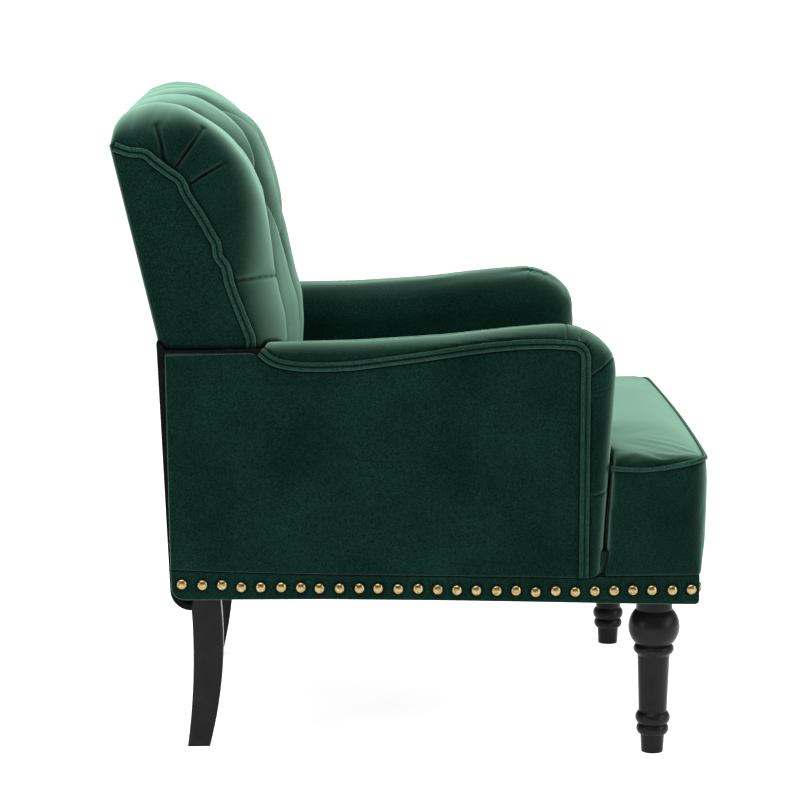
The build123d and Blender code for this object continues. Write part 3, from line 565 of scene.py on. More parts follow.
# Distances from the middle plane, in metres, over which the arms' painted sheen fades in: painted shade on
# their inner faces.
ARM_SHEEN_FADE = ((ARM_INNER + 14.0) * MM, (ARM_INNER + 62.0) * MM)
green = velvet("green_velvet", GREEN_DARK, GREEN_LIGHT, GREEN_PAINTED_SHEEN, GREEN_SHEEN)
green_arm_inner_shade = velvet("green_velvet_arm_inner_shade", GREEN_DARK, GREEN_LIGHT, GREEN_PAINTED_SHEEN, GREEN_SHEEN, ARM_SHEEN_FADE)
# The cords' lit copy of the velvet: painted light.
green_cord_lit = velvet("green_velvet_cord_lit", GREEN_CORD_LIT_DARK, GREEN_CORD_LIT_LIGHT, GREEN_CORD_PAINTED_SHEEN, GREEN_SHEEN)
finishes = {
    "frame_wood": raw_wood("frame_wood"),
    "black_legs": painted_wood("black_legs", (0.0045, 0.0045, 0.0045)),
    "antique_brass": antique_brass("antique_brass"),
    "steel_hardware": brushed_steel("steel_hardware"),
    "webbing": woven_cloth("webbing", (0.02, 0.018, 0.015), (0.05, 0.045, 0.04), 900.0),
    "felt": woven_cloth("felt", (0.2, 0.19, 0.18), (0.32, 0.31, 0.3), 1500.0),
    "dust_cloth": woven_cloth("dust_cloth", (0.0025, 0.0030, 0.0030), (0.0060, 0.0065, 0.0065), 1200.0),
    "green_velvet": green,
}
slots = {part["node"]: part["material_slot"] for part in frame["record"]["subparts"]}
for node, slot in slots.items():
    mesh = nodes[node].data
    mesh.materials.clear()
    mesh.materials.append(finishes[slot])
for name in ("front_legs", "rear_legs"):
    nodes[name].data.shade_smooth()
    nodes[name].data.set_sharp_from_angle(angle=math.radians(35))


# Back pad with diamond tufting
def rounded_section(half, side, thickness, flat_count, side_power):
    """Cross-section of a pad with full rounded sides: place, outward direction and travel from the middle."""
    angle = np.linspace(0, math.pi / 2, 48)
    power = 2 / side_power
    x = half - side + side * np.cos(angle) ** power
    x[-1] = half - side
    v = thickness * np.sin(angle) ** power
    nx, nv = np.cos(angle) ** (2 - power) / side, np.sin(angle) ** (2 - power) / thickness
    length = np.hypot(nx, nv)
    steps = np.hypot(np.diff(x), np.diff(v))
    q = half - side + np.concatenate([np.cumsum(steps[::-1])[::-1], [0]])
    below = (half - 1.0, -PAD_TURN_IN, 1.0, 0.0, q[0] + PAD_TURN_IN)
    right = [below] + list(zip(x, v, nx / length, nv / length, q))[:-1]
    middle = np.linspace(half - side, side - half, flat_count)
    flat = [(along, thickness, 0.0, 1.0, along) for along in middle]
    left = [(-x, v, -nx, nv, -q) for x, v, nx, nv, q in reversed(right)]
    return right + flat + left


def pad_grid(stations, half, count, flat_count, sloping=False):
    """Rounded pad on a grid along and across: places, outward directions and surface coordinates."""
    curve, where = catmull_rom(stations, count)
    outer = curve[:, 2:4]
    travel = np.concatenate([[0], np.cumsum(np.linalg.norm(np.diff(outer, axis=0), axis=1))])
    rows = []
    for i in range(count):
        inner_y, inner_z, outer_y, outer_z = curve[i]
        out = np.array([outer_y - inner_y, outer_z - inner_z])
        thickness = np.linalg.norm(out)
        out /= thickness
        zones, crown, belly = np.zeros(3), LOWER_CROWN, 0.0
        if sloping:
            foot = np.clip((SLOPING_TO - where[i]) / SLOPING_OVER, 0, 1)
            shoulder = np.clip(where[i] - SHOULDER_FROM, 0, 1) * np.clip(SHOULDER_TO - where[i], 0, 1)
            zones = np.array([foot, shoulder, np.clip(where[i] - TOP_FROM, 0, 1)])
            crown = np.interp(where[i], *PAD_CROWN)
            belly = PAD_BELLY * np.exp(-(((where[i] - BELLY_AT) / BELLY_REACH) ** 2))
        side = min(SIDE_ROUND + zones @ SIDE_CHANGE, SIDE_LIMIT * thickness)
        power = SIDE_POWER + zones @ POWER_CHANGE
        for x, v, nx, nv, q in rounded_section(half, side, thickness, flat_count, power):
            rise = np.clip((abs(x) - CROWN_FROM) / (CROWN_TO - CROWN_FROM), 0, 1)
            v *= (1 + belly) * (1 - crown * rise**2 * (3 - 2 * rise))
            place = (x, inner_y + out[0] * v, inner_z + out[1] * v)
            normal = (nx, out[0] * nv, out[1] * nv)
            rows.append((*place, *normal, q, travel[i]))
    grid = np.array(rows).reshape(count, -1, 8)
    return grid, travel, where


def pleat_depth(q, s, pleats):
    """Depth of the surface below its crown, from pleats given as start, end, three depths and width."""
    depth = np.zeros_like(q)
    for start, end, first, middle, last, width in pleats:
        distance, share = segment_distance(q, s, start, end)
        here = np.interp(share, [0, 0.5, 1], [first, middle, last])
        rounded = np.hypot(distance, PLEAT_ROUND) - PLEAT_ROUND
        depth = np.maximum(depth, here * np.exp(-rounded / width))
    return depth


def closed_grid_mesh(name, places):
    """A closed mesh from a grid of places in millimetres: open edges joined across the back and capped."""
    return outward(mesh_from(name, [(places.reshape(-1, 3), ring_faces(*places.shape[:2]))]))


def button_shape(place, out, radius, height):
    """A covered button: a full dome on a short edge."""
    out = Vector(out).normalized()
    across = out.orthogonal().normalized()
    other = out.cross(across)
    rings = [(1.0, -0.5), (1.03, 0.1), (0.96, 0.45), (0.8, 0.72), (0.55, 0.9), (0.28, 0.98)]
    sides = 28
    verts = [
        Vector(place) + (across * math.cos(a) + other * math.sin(a)) * radius * r + out * height * h
        for r, h in rings
        for a in (2 * math.pi * k / sides for k in range(sides))
    ]
    verts.append(Vector(place) + out * height)
    faces = ring_faces(len(rings), sides, False)
    top = (len(rings) - 1) * sides
    faces += [(top + k, top + (k + 1) % sides, len(verts) - 1) for k in range(sides)]
    faces.append(tuple(range(sides))[::-1])
    return verts, faces


def to_frame(stations):
    """Stations in the frame's own millimetres."""
    return [(BASE_REAR + a, JOINT + b, BASE_REAR + c, JOINT + d) for a, b, c, d in stations]


grid, travel, where = pad_grid(to_frame(PAD_STATIONS), BACK_HALF, 250, 180, True)
row_at = {row: np.interp(row, where, travel) for row in (ROW_LOW, ROW_MIDDLE, ROW_HIGH)}
wide = [TUFT_PITCH * n for n in (-1.5, -0.5, 0.5, 1.5)]
narrow = [TUFT_PITCH * n for n in (-1, 0, 1)]
pleats = []
for x in narrow:
    for step in (-0.5, 0.5):
        for row in (ROW_LOW, ROW_HIGH):
            near = (x + step * TUFT_PITCH, row_at[row])
            pleats.append((near, (x, row_at[ROW_MIDDLE]), *DIAMOND_PLEAT))
for x in wide:
    pleats.append(((x, row_at[ROW_HIGH]), (x * 1.02, travel[-1]), *TOP_PLEAT))
    pleats.append(((x, row_at[ROW_LOW]), (x, 0.0), *FOOT_PLEAT))
for side in (-1, 1):
    first = 0 if side > 0 else -1
    low_edge = grid[int(np.argmin(np.abs(where - ROW_LOW))), first, 6]
    start = (side * 1.5 * TUFT_PITCH, row_at[ROW_LOW])
    crease = (start[0], start[1] - 17.0)
    pleats.append((crease, (low_edge, row_at[ROW_LOW] + 11.0), *SIDE_CREASE))
    for station, far, reach in GATHERS:
        edge = grid[int(np.argmin(np.abs(where - station))), first, 6]
        start = (edge, np.interp(station, where, travel))
        end = (edge - side * reach, np.interp(far, where, travel))
        pleats.append((start, end, *GATHER_FOLD))
        pleats.append((start, end, *GATHER_HOLLOW))
q, s = grid[:, :, 6], grid[:, :, 7]
sunk = pleat_depth(q, s, pleats)
button_rows = ((ROW_LOW, wide), (ROW_MIDDLE, narrow), (ROW_HIGH, wide))
buttons = [(x, row_at[row]) for row, xs in button_rows for x in xs]
for x, row in buttons:
    sunk += BUTTON_PULL * np.exp(-((np.hypot(q - x, s - row) / BUTTON_REACH) ** 2))
places = grid[:, :, 0:3] - grid[:, :, 3:6] * sunk[:, :, None]
pad_mesh = closed_grid_mesh("back_pad", places)
back_pad = add_object("tufted_back", pad_mesh, green, ["back_pad"], 60)

shapes = []
for x, row in buttons:
    i = int(np.argmin(np.abs(travel - row)))
    k = int(np.argmin(np.abs(grid[i, :, 6] - x)))
    out = grid[i, k, 3:6]
    shapes.append(button_shape(places[i, k] + out * BUTTON_LIFT, out, BUTTON_RADIUS, BUTTON_HEIGHT))
button_mesh = mesh_from("buttons", shapes)
add_object("covered_buttons", button_mesh, green, ["tuft_buttons"])

lower_grid, lower_travel, _ = pad_grid(to_frame(LOWER_STATIONS), ARM_INNER - 1.0, 40, 130)
lower_pleats = [((x, 0.0), (x, lower_travel[-1]), *LOWER_PLEAT) for x in wide]
lower_sunk = pleat_depth(lower_grid[:, :, 6], lower_grid[:, :, 7], lower_pleats)
lower_places = lower_grid[:, :, 0:3] - lower_grid[:, :, 3:6] * lower_sunk[:, :, None]
lower_mesh = closed_grid_mesh("lower_pad", lower_places)
lower_back = add_object("lower_back", lower_mesh, green, ["back_lower_pad"], 60)


# Seat and arm pads, swollen by cloth pressure
BAND_SEAM = 266.4  # height of the seat's and arms' lower edge
CORD_RISE, EAR_SAG, FRONT_SAG = 3.5, 14.0, 1.5  # of the seat's welt
EAR_CORNER, EAR_LENGTH = 8.0, 184.0
CORD_SIDE, CORD_FRONT, CORD_CORNER, CORD_RADIUS = 2.6, 3.2, 22.0, 3.6  # insets, corner and radius
CORD_REACH, CORD_PULL, CORD_PULL_POWER = 12.0, 0.75, 1.5  # how the cover is drawn in to the welt
SEAT_BOW, BOW_INSET = 6.0, 20.0  # bow of the front edge, and where it starts from the sides
BOW_FROM, BOW_OVER, BOW_RISE = 10.0, 120.0, 40.0  # fading to the rear and to the lower edge
# Mesh size, rounds of smoothing, cloth pressure and furthest swelling
SEAT_VOXEL, SEAT_ROUNDS, SEAT_PRESSURE, SEAT_SWELL = 5.0, 8, 4.0, 6.0
ARM_VOXEL, ARM_ROUNDS, ARM_PRESSURE, ARM_SWELL = 4.0, 6, 3.0, 4.0
FREE_FROM, FREE_OVER = 6.0, 20.0  # smoothing starts above the lower edge
# Parts of the seat and of the arms that are held while they swell
SEAT_HELD_LOW, SEAT_HELD_SIDE, SEAT_HELD_FRONT, SEAT_HELD_CORD, SEAT_HELD_EAR = 15.0, 14.0, 12.0, 4.0, 14.0
ARM_HELD_LOW, ARM_HELD_SIDE, ARM_HELD_REAR = 300.0, 40.0, 150.0
# Tucks behind the seat's ears: lower edge, upper edge and depth
TUCK_SEAM = 302.0
TUCKS = [(BAND_SEAM - 1.5, TUCK_SEAM + 1.0, 4.4), (TUCK_SEAM, SEAT_WELT_Z - 20.0, 22.0)]
TUCK_FRONT, TUCK_REAR, TUCK_INNER = ARM_FRONT - 5.0, ARM_FRONT + 60.0, COVER_X - 50.0


def relaxed(mesh, weight, rounds):
    """Evens out a mesh by moving each vertex towards its neighbours, as far as its weight allows."""
    places = coordinates(mesh)
    edges = np.empty(len(mesh.edges) * 2, dtype=np.int64)
    mesh.edges.foreach_get("vertices", edges)
    a, b = edges[0::2], edges[1::2]
    count = np.bincount(edges, minlength=len(places))[:, None]
    for _ in range(rounds):
        total = np.zeros_like(places)
        np.add.at(total, a, places[b])
        np.add.at(total, b, places[a])
        places = places + 0.5 * weight[:, None] * (total / np.maximum(count, 1) - places)
    set_coordinates(mesh, places)
    return mesh


def above_seam(mesh):
    """How free each vertex is to move: not at the lower edge, and fully a little above it."""
    return np.clip((coordinates(mesh)[:, 2] / MM - BAND_SEAM - FREE_FROM) / FREE_OVER, 0, 1)


def distance_to(line, y, z):
    """Distance of points in the side view to a line of points."""
    line = np.array(line, float)
    best = np.full(len(y), 1e9)
    for start, end in zip(line[:-1], line[1:]):
        best = np.minimum(best, segment_distance(y, z, start, end)[0])
    return best


def front_bow(x):
    """How far the seat's front edge bows out from its corners."""
    return SEAT_BOW * (1 - np.clip(np.abs(x) / (COVER_X - BOW_INSET), 0, 1) ** 2)


def seat_cord_height(x, y):
    """Height of the seat's welt: it sags along the ears and a little across the front."""
    share = np.clip((y - SEAT_FRONT - EAR_CORNER) / EAR_LENGTH, 0, 1)
    sag = EAR_SAG * np.sin(math.pi * share) + FRONT_SAG * (1 - np.abs(x / COVER_X) ** 4)
    return SEAT_WELT_Z + CORD_RISE - sag


# Levels of the seat: height, front inset, side inset and corner
SEAT_LEVELS = [
    (BAND_SEAM, 9.0, 0.6, 5.0),
    (BAND_SEAM + 40.0, 3.0, 0.0, 14.0),
    (SEAT_WELT_Z - 33.0, 0.0, 0.0, 20.0),
    (SEAT_WELT_Z - 4.0, 0.6, 0.6, 22.0),
    (SEAT_WELT_Z + 4.0, 3.0, 3.5, 22.0),
    (SEAT_WELT_Z + 11.0, 14.0, 13.0, 20.0),
    (SEAT_WELT_Z + 16.5, 42.0, 38.0, 16.0),
    (SEAT_WELT_Z + 19.0, 84.0, 80.0, 12.0),
]
ARM_DRAFT = 17.0  # how far the arms' fronts draw back towards the seam
ARM_ROLL = 76.0  # height of the round front
ARM_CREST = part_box("left_arm_pad")[1].z / MM
EAR_GAP = 4.0  # between the seat's ears and the arms


def arm_front_at(z):
    """Front of the arms at a height below their roll."""
    roll_bottom = ARM_CREST - ARM_ROLL
    return ARM_FRONT + ARM_DRAFT * (roll_bottom - z) / (roll_bottom - BAND_SEAM)


def seat_block():
    """T-shaped seat: level outlines joined into one closed mesh."""
    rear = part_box("seat_pad")[1].y / MM
    verts = []
    for z, front_inset, side_inset, radius in SEAT_LEVELS:
        front, wide, narrow = SEAT_FRONT + front_inset, COVER_X - side_inset, ARM_INNER - 0.5 - side_inset
        ear = arm_front_at(z) - EAR_GAP
        right = [(wide - radius + radius * math.sin(a), front + radius - radius * math.cos(a))
                 for a in np.linspace(0, math.pi / 2, 9)]
        right += [(wide, ear), (narrow, ear), (narrow, rear - side_inset)]
        outline = right + [(-x, y) for x, y in right[::-1]]
        verts += [(x, y, z) for x, y in outline]
    return mesh_from("seat_block", [(verts, ring_faces(len(SEAT_LEVELS), len(outline)))])


def seat_cord_line():
    """The seat's single welt, from ear to ear round the front."""
    half, ear, corner = COVER_X - CORD_SIDE, arm_front_at(SEAT_WELT_Z) - 1.0, CORD_CORNER
    front = SEAT_FRONT + CORD_FRONT
    side = [(half, y) for y in np.linspace(ear, front + corner, 18)]
    turn = [
        (half - corner + corner * math.cos(a), front + corner - corner * math.sin(a))
        for a in np.linspace(0, math.pi / 2, 9)[1:]
    ]
    middle = [(x, front) for x in np.linspace(half - corner, 0, 30)[1:]]
    right = side + turn + middle
    full = right + [(-x, y) for x, y in right[-2::-1]]
    heights = [float(seat_cord_height(np.array(x), np.array(y))) for x, y in full]
    return [(x, y - float(front_bow(x)) * (abs(x) < half - corner), z) for (x, y), z in zip(full, heights)]


def draw_to_line(mesh, line, reach):
    """Draws the cover in to a sewn line, less and less up to a distance in millimetres."""
    places = coordinates(mesh) / MM
    best, target = np.full(len(places), 1e9), places.copy()
    for start, end in zip(line[:-1], line[1:]):
        run = end - start
        share = np.clip((places - start) @ run / max(run @ run, 1e-9), 0, 1)[:, None]
        spot = start + share * run
        distance = np.linalg.norm(places - spot, axis=1)
        closer = distance < best
        best[closer], target[closer] = distance[closer], spot[closer]
    pull = CORD_PULL * np.clip(1 - best / reach, 0, 1)[:, None] ** CORD_PULL_POWER
    set_coordinates(mesh, (places + (target - places) * pull) * MM)


seat_mesh = even_mesh(seat_block(), SEAT_VOXEL)
relaxed(seat_mesh, above_seam(seat_mesh), SEAT_ROUNDS)
places = coordinates(seat_mesh) / MM
rim = places[:, 2] - seat_cord_height(places[:, 0], places[:, 1])
in_front = places[:, 1] < ARM_FRONT + SEAT_HELD_EAR
at_side = np.abs(places[:, 0]) > COVER_X - SEAT_HELD_SIDE
outside = at_side | (places[:, 1] < SEAT_FRONT + SEAT_HELD_FRONT)
at_cord = (np.abs(rim) < SEAT_HELD_CORD) & in_front & outside
held = (places[:, 2] < BAND_SEAM + SEAT_HELD_LOW) | at_cord
inflate(seat_mesh, held, SEAT_PRESSURE, SEAT_SWELL)
places = coordinates(seat_mesh) / MM
near_front = np.clip(1 - (places[:, 1] - SEAT_FRONT - BOW_FROM) / BOW_OVER, 0, 1)
lifted = np.clip((places[:, 2] - BAND_SEAM) / BOW_RISE, 0, 1)
places[:, 1] -= front_bow(places[:, 0]) * near_front * lifted
set_coordinates(seat_mesh, places * MM)
cord_line = np.array(seat_cord_line())
draw_to_line(seat_mesh, cord_line, CORD_REACH)
tucks = []
for sign in (1, -1):
    for low, high, depth in TUCKS:
        outline = [(TUCK_FRONT, low), (TUCK_REAR, low), (TUCK_REAR, high), (TUCK_FRONT, high)]
        tucks.append(slab(outline, sign * TUCK_INNER, sign * (COVER_X - depth)))
outward(seat_mesh, mesh_from("tucks", tucks))
seat = add_object("tight_seat", seat_mesh, green, ["seat_pad"])

# Front roll of the arm, from its front and the joint
ARM_ROLL_LINE = [
    (0.0, -45.0), (1.0, -28.0), (4.5, -15.0), (14.0, -2.0), (26.0, 9.0), (39.0, 17.1),
    (52.0, 22.5), (66.0, 26.2), (76.0, 27.4),
]
# Top of the arm and outer edge of its welt behind the front, from the rear of the base and the joint
ARM_TOP = [
    (-510.0, 24.6), (-468.0, 20.6), (-439.0, 17.3), (-399.0, 12.6), (-352.5, 9.6), (-295.0, 6.0),
    (-260.0, 4.6), (-190.0, 3.6), (-143.0, 3.0),
]
ARM_WELT_TOP = [
    (-532.0, 14.0), (-483.0, 12.2), (-428.0, 6.6), (-373.0, -1.4), (-295.0, -11.4), (-256.0, -15.5),
    (-208.0, -16.4), (-177.0, -13.7), (-157.2, -7.7), (-143.5, 3.2),
]
ARM_DOME = (46.0, 34.0)  # inner top of the arm: how far in and how far down it rounds
ARM_EDGE_FRONT = ARM_FRONT + 36.0
ARM_EDGE_CREST = JOINT + 12.0
ARM_EDGE_ROLL = 26.0
ARM_CAP_FRONT = 16.0  # how far the outer edge of the arm rounds over
ARM_CAP_TOP = 34.0
ARM_MIDDLE = 0.5 * (ARM_INNER + COVER_X - ARM_CAP_TOP)
ARM_TILT = 4.0  # the arm's top rises to the outside
ARM_REAR = BASE_REAR - 143.0
CAP_POWER_FRONT, CAP_POWER_TOP = 3.4, 1.5  # fullness of the rounding at the front and on top
UPPER_FROM, UPPER_OVER = 40.0, 50.0  # heights round the joint where the front's rounding turns into the top's
OUTER_FROM, OUTER_OVER = 32.0, 20.0  # outer part of the arm that is rounded
PANEL_SUNK = 6.5  # the pad behind the outside panel
FOLD_PRESS, FOLD_WIDTH, FOLD_FADE = 1.4, 2.0, 0.6
RIDGE_RISE, RIDGE_AT, RIDGE_WIDTH = 0.4, 6.0, 3.0  # beside a fold
FOLD_FROM, FOLD_OVER = 60.0, 25.0  # outer part of the arm that is folded


def arm_welt_line(inset):
    """Side view of the arm's welt: up the front, round the corner, along the dipping top."""
    heights = np.linspace(BAND_SEAM, ARM_EDGE_CREST - ARM_EDGE_ROLL, 30)
    line = [np.array([ARM_EDGE_FRONT, z]) for z in heights]
    middle = np.array([ARM_EDGE_FRONT + ARM_EDGE_ROLL, ARM_EDGE_CREST - ARM_EDGE_ROLL])
    quarter = np.linspace(0, math.pi / 2, 15)[1:]
    corner = [middle + ARM_EDGE_ROLL * np.array([-math.cos(a), math.sin(a)]) for a in quarter]
    top = [corner[-1]] + from_rear(ARM_WELT_TOP)
    return list(offset_line(line + corner + list(catmull_rom(top, 90)[0][1:]), inset))


def arm_top_line():
    """Side view of the arm's outline: up the front, round the roll and along the top."""
    line = [np.array([arm_front_at(BAND_SEAM), BAND_SEAM]), np.array([ARM_FRONT, ARM_CREST - ARM_ROLL])]
    return line + list(catmull_rom(from_arm_front(ARM_ROLL_LINE) + from_rear(ARM_TOP), 100)[0])


def dome_arm(mesh):
    """Rounds the arm's inner top over from the inner face to the crest."""
    places = coordinates(mesh) / MM
    x, y, z = np.abs(places[:, 0]), places[:, 1], places[:, 2]
    line = np.array(arm_top_line())
    best, spot = np.full(len(y), 1e9), np.zeros((len(y), 2))
    for start, end in zip(line[:-1], line[1:]):
        run = end - start
        distance, _ = segment_distance(y, z, start, end)
        closer = distance < best
        best[closer] = distance[closer]
        spot[closer] = np.array([run[1], -run[0]]) / np.linalg.norm(run)
    across, down = 1 - (x - ARM_INNER) / ARM_DOME[0], 1 - best / ARM_DOME[1]
    reach = np.where((across > 0) & (down > 0), np.hypot(across, down), 0.0)
    pull = np.where(reach > 1, 1 / np.maximum(reach, 1e-6), 1.0)
    x = np.where(reach > 1, ARM_INNER + ARM_DOME[0] * (1 - across * pull), x)
    sink = np.where(reach > 1, ARM_DOME[1] * (1 - down * pull) - best, 0.0)
    moved = np.stack([np.sign(places[:, 0]) * x, y + spot[:, 0] * sink, z + spot[:, 1] * sink], axis=1)
    set_coordinates(mesh, moved * MM)
    return mesh


def split_marked(mesh, marked):
    """Splits the edges between marked vertices."""
    def split(bm):
        edges = [e for e in bm.edges if marked[e.verts[0].index] and marked[e.verts[1].index]]
        bmesh.ops.subdivide_edges(bm, edges=edges, cuts=1, use_grid_fill=True)

    return edited(mesh, split)


def finer_at_folds(mesh):
    """Splits the faces of an arm's outer side round its folds."""
    for reach in (12.0, 7.0):
        places = coordinates(mesh) / MM
        near = np.zeros(len(places), bool)
        for start, end, _ in ARM_FOLDS:
            fold = from_arm_front((start, end))
            near |= segment_distance(places[:, 1], places[:, 2], *fold)[0] < reach
        near &= np.abs(places[:, 0]) > COVER_X - FOLD_FROM
        split_marked(mesh, near)
    return mesh


def arm_block(sign):
    """Plain arm: its side outline drawn out from the seat to the outer cover."""
    outline = [tuple(p) for p in arm_top_line()] + [(ARM_REAR, BAND_SEAM)]
    return mesh_from("arm_block", [slab(outline, sign * ARM_INNER, sign * COVER_X)])


def within(outline, y, z):
    """Which points of the side view lie inside a closed outline."""
    inside = np.zeros(len(y), bool)
    for (y0, z0), (y1, z1) in zip(outline, outline[1:] + outline[:1]):
        crosses = (z0 > z) != (z1 > z)
        inside ^= crosses & (y < (y1 - y0) * (z - z0) / (z1 - z0 + 1e-12) + y0)
    return inside


def shape_arm(mesh):
    """Rounds the arm's outer edge from the welt to the outline and presses its folds in."""
    places = coordinates(mesh) / MM
    x, y, z = np.abs(places[:, 0]), places[:, 1], places[:, 2]
    inside = distance_to(arm_top_line(), y, z)
    width = inside + distance_to(arm_welt_line(0.0), y, z) + 1e-6
    share = np.clip(1 - inside / width, 0, 1)
    upper = np.clip((z - JOINT + UPPER_FROM) / UPPER_OVER, 0, 1)
    cap = ARM_CAP_FRONT + (ARM_CAP_TOP - ARM_CAP_FRONT) * upper
    power = CAP_POWER_FRONT + (CAP_POWER_TOP - CAP_POWER_FRONT) * upper
    limit = COVER_X + 0.6 - cap * (1 - np.sqrt(1 - share**power))
    outer = np.clip((x - COVER_X + OUTER_FROM) / OUTER_OVER, 0, 1)
    rounded = np.where(x > COVER_X - 3.0, limit, np.minimum(x, limit))
    panel = [tuple(p) for p in arm_welt_line(3.0)]
    panel += [(BASE_REAR, JOINT), (BASE_REAR, 0.0), (ARM_EDGE_FRONT + 3.0, 0.0)]
    rounded = np.where(within(panel, y, z), np.minimum(x, COVER_X - PANEL_SUNK), rounded)
    x = x + (rounded - x) * outer
    fold = np.zeros_like(x)
    for start, end, depth in ARM_FOLDS:
        distance, part = segment_distance(y, z, *from_arm_front((start, end)))
        depth = depth * (1 - FOLD_FADE * part**2)
        fold = np.maximum(fold, FOLD_PRESS * depth * np.exp(-((distance / FOLD_WIDTH) ** 2)))
        fold -= RIDGE_RISE * depth * np.exp(-(((distance - RIDGE_AT) / RIDGE_WIDTH) ** 2))
    weight = np.clip((x - COVER_X + FOLD_FROM) / FOLD_OVER, 0, 1)
    middle = np.stack([np.full_like(x, COVER_X - 55.0), y + 0.5 * (ARM_FRONT + 90.0 - y), z - 35.0], axis=1)
    moved = np.stack([x, y, z], axis=1)
    inward = middle - moved
    inward /= np.linalg.norm(inward, axis=1, keepdims=True)
    moved += inward * (fold * weight)[:, None]
    moved[:, 2] += ARM_TILT * share**2 * (x - ARM_MIDDLE) / (ARM_MIDDLE - ARM_INNER)
    moved[:, 0] *= np.sign(places[:, 0])
    set_coordinates(mesh, moved * MM)
    return mesh


for side, sign in (("left", 1), ("right", -1)):
    arm_mesh = even_mesh(arm_block(sign), ARM_VOXEL)
    dome_arm(relaxed(arm_mesh, above_seam(arm_mesh), ARM_ROUNDS))
    places = coordinates(arm_mesh) / MM
    low = places[:, 2] < ARM_HELD_LOW
    rear = places[:, 1] > BASE_REAR - ARM_HELD_REAR
    held = (np.abs(places[:, 0]) > COVER_X - ARM_HELD_SIDE) | low | rear
    inflate(arm_mesh, held, ARM_PRESSURE, ARM_SWELL)
    shape_arm(finer_at_folds(arm_mesh))
    arm = add_object(side + "_arm", arm_mesh, green_arm_inner_shade, [side + "_arm_pad"])


# Flat covered panels with soft edges
PANEL_INSET = 14.0  # outside arm cover from the arm's welt edge
PANEL_TOP = JOINT - 4.0
PANEL_SLOPE = 3.0  # upper edge below the back unit
WELT_INSET = 6.8  # middle of the arm's double welt
BACK_INSET = 7.2  # back cover from the middle of its welt
PANEL_ROUND, BAND_ROUND, BACK_ROUND = 1.6, 1.4, 1.0
STRIP_HALF = 4.0  # cloth behind the seam


def round_edges(mesh, width):
    """Rounds the sharp edges of a panel."""
    def bevel(bm):
        sharp = [e for e in bm.edges if len(e.link_faces) == 2 and e.calc_face_angle() > math.radians(40)]
        bmesh.ops.bevel(bm, geom=sharp, offset=width * MM, segments=3, profile=0.5, affect="EDGES")

    return edited(mesh, bevel)


back_welt_middle = catmull_rom(from_rear(BACK_WELT), 110)[0]
rear_lean = (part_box("outside_back")[1].y / MM - BASE_REAR) / (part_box("outside_back")[1].z / MM - JOINT)


def back_cover(side, sign):
    """Flat side of the back: from the welt to the rear plane, its rear edge rolled."""
    front = offset_line(back_welt_middle, BACK_INSET)
    front = front[front[:, 0] < BASE_REAR + (front[:, 1] - JOINT) * rear_lean - BACK_ROLL - 5.0]
    top = front[-1]
    front[0, 1] = JOINT - BACK_OVERHANG
    heights = (top[1] + 0.5, JOINT - BACK_OVERHANG)
    rear = [(BASE_REAR + (z - JOINT) * rear_lean - BACK_ROLL, z) for z in heights]
    outline = [tuple(p) for p in front] + rear
    shape = slab(outline, sign * (BACK_SIDE_X - COVER_THICK), sign * BACK_SIDE_X)
    mesh = round_edges(outward(mesh_from(side + "_back_cover", [shape])), BACK_ROUND)
    return add_object(side + "_back_cover", mesh, green, [side + "_back_side"], 50, 0)


def side_rear(z):
    """Rear edge of the base's side covers at a height."""
    return rear_face(z) - np.interp(z, *REAR_EDGE)


def rear_face(z):
    """Rear face of the base at a height."""
    return BASE_REAR - REAR_TAPER * (JOINT - z) / (JOINT - BASE_LOW)


def panel_object(name, outline, sign, width, replaced, turned):
    """A flat side cover from its outline, with soft edges and cloth turned in behind it."""
    shape = slab(outline, sign * (COVER_X - COVER_THICK), sign * COVER_X)
    mesh = round_edges(outward(mesh_from(name, [shape])), width)
    outward(mesh, mesh_from("turned", [turned]))
    return add_object(name, mesh, green, replaced, 50, 0)


def arm_side(side, sign):
    """Outside arm cover, its upper edge sloped in below the back unit."""
    front = [tuple(point) for point in arm_welt_line(PANEL_INSET)]
    along = np.linspace(side_rear(SEAM_REAR), front[0][0], 14)
    bottom = [(y, height_on(SEAM_LINE, y) + SEAM_GAP) for y in along]
    outline = front + [(BASE_REAR - 125.0, PANEL_TOP), (side_rear(PANEL_TOP), PANEL_TOP)] + bottom[:-1]
    behind = from_rear([(-160.0, -30.0), (-100.0, -30.0), (-100.0, -6.0), (-160.0, -6.0)])
    turned = slab(behind, sign * (COVER_X - 20.0), sign * (COVER_X - 4.4))
    cover = panel_object(side + "_arm_side", outline, sign, PANEL_ROUND, [side + "_outside_arm"], turned)
    places = coordinates(cover.data) / MM
    edge = (places[:, 2] > PANEL_TOP - 4.0) & (np.abs(places[:, 0]) > COVER_X - 3.0)
    edge &= places[:, 1] > BASE_REAR - 124.0
    places[edge, 2] -= PANEL_SLOPE
    set_coordinates(cover.data, places * MM)
    return cover


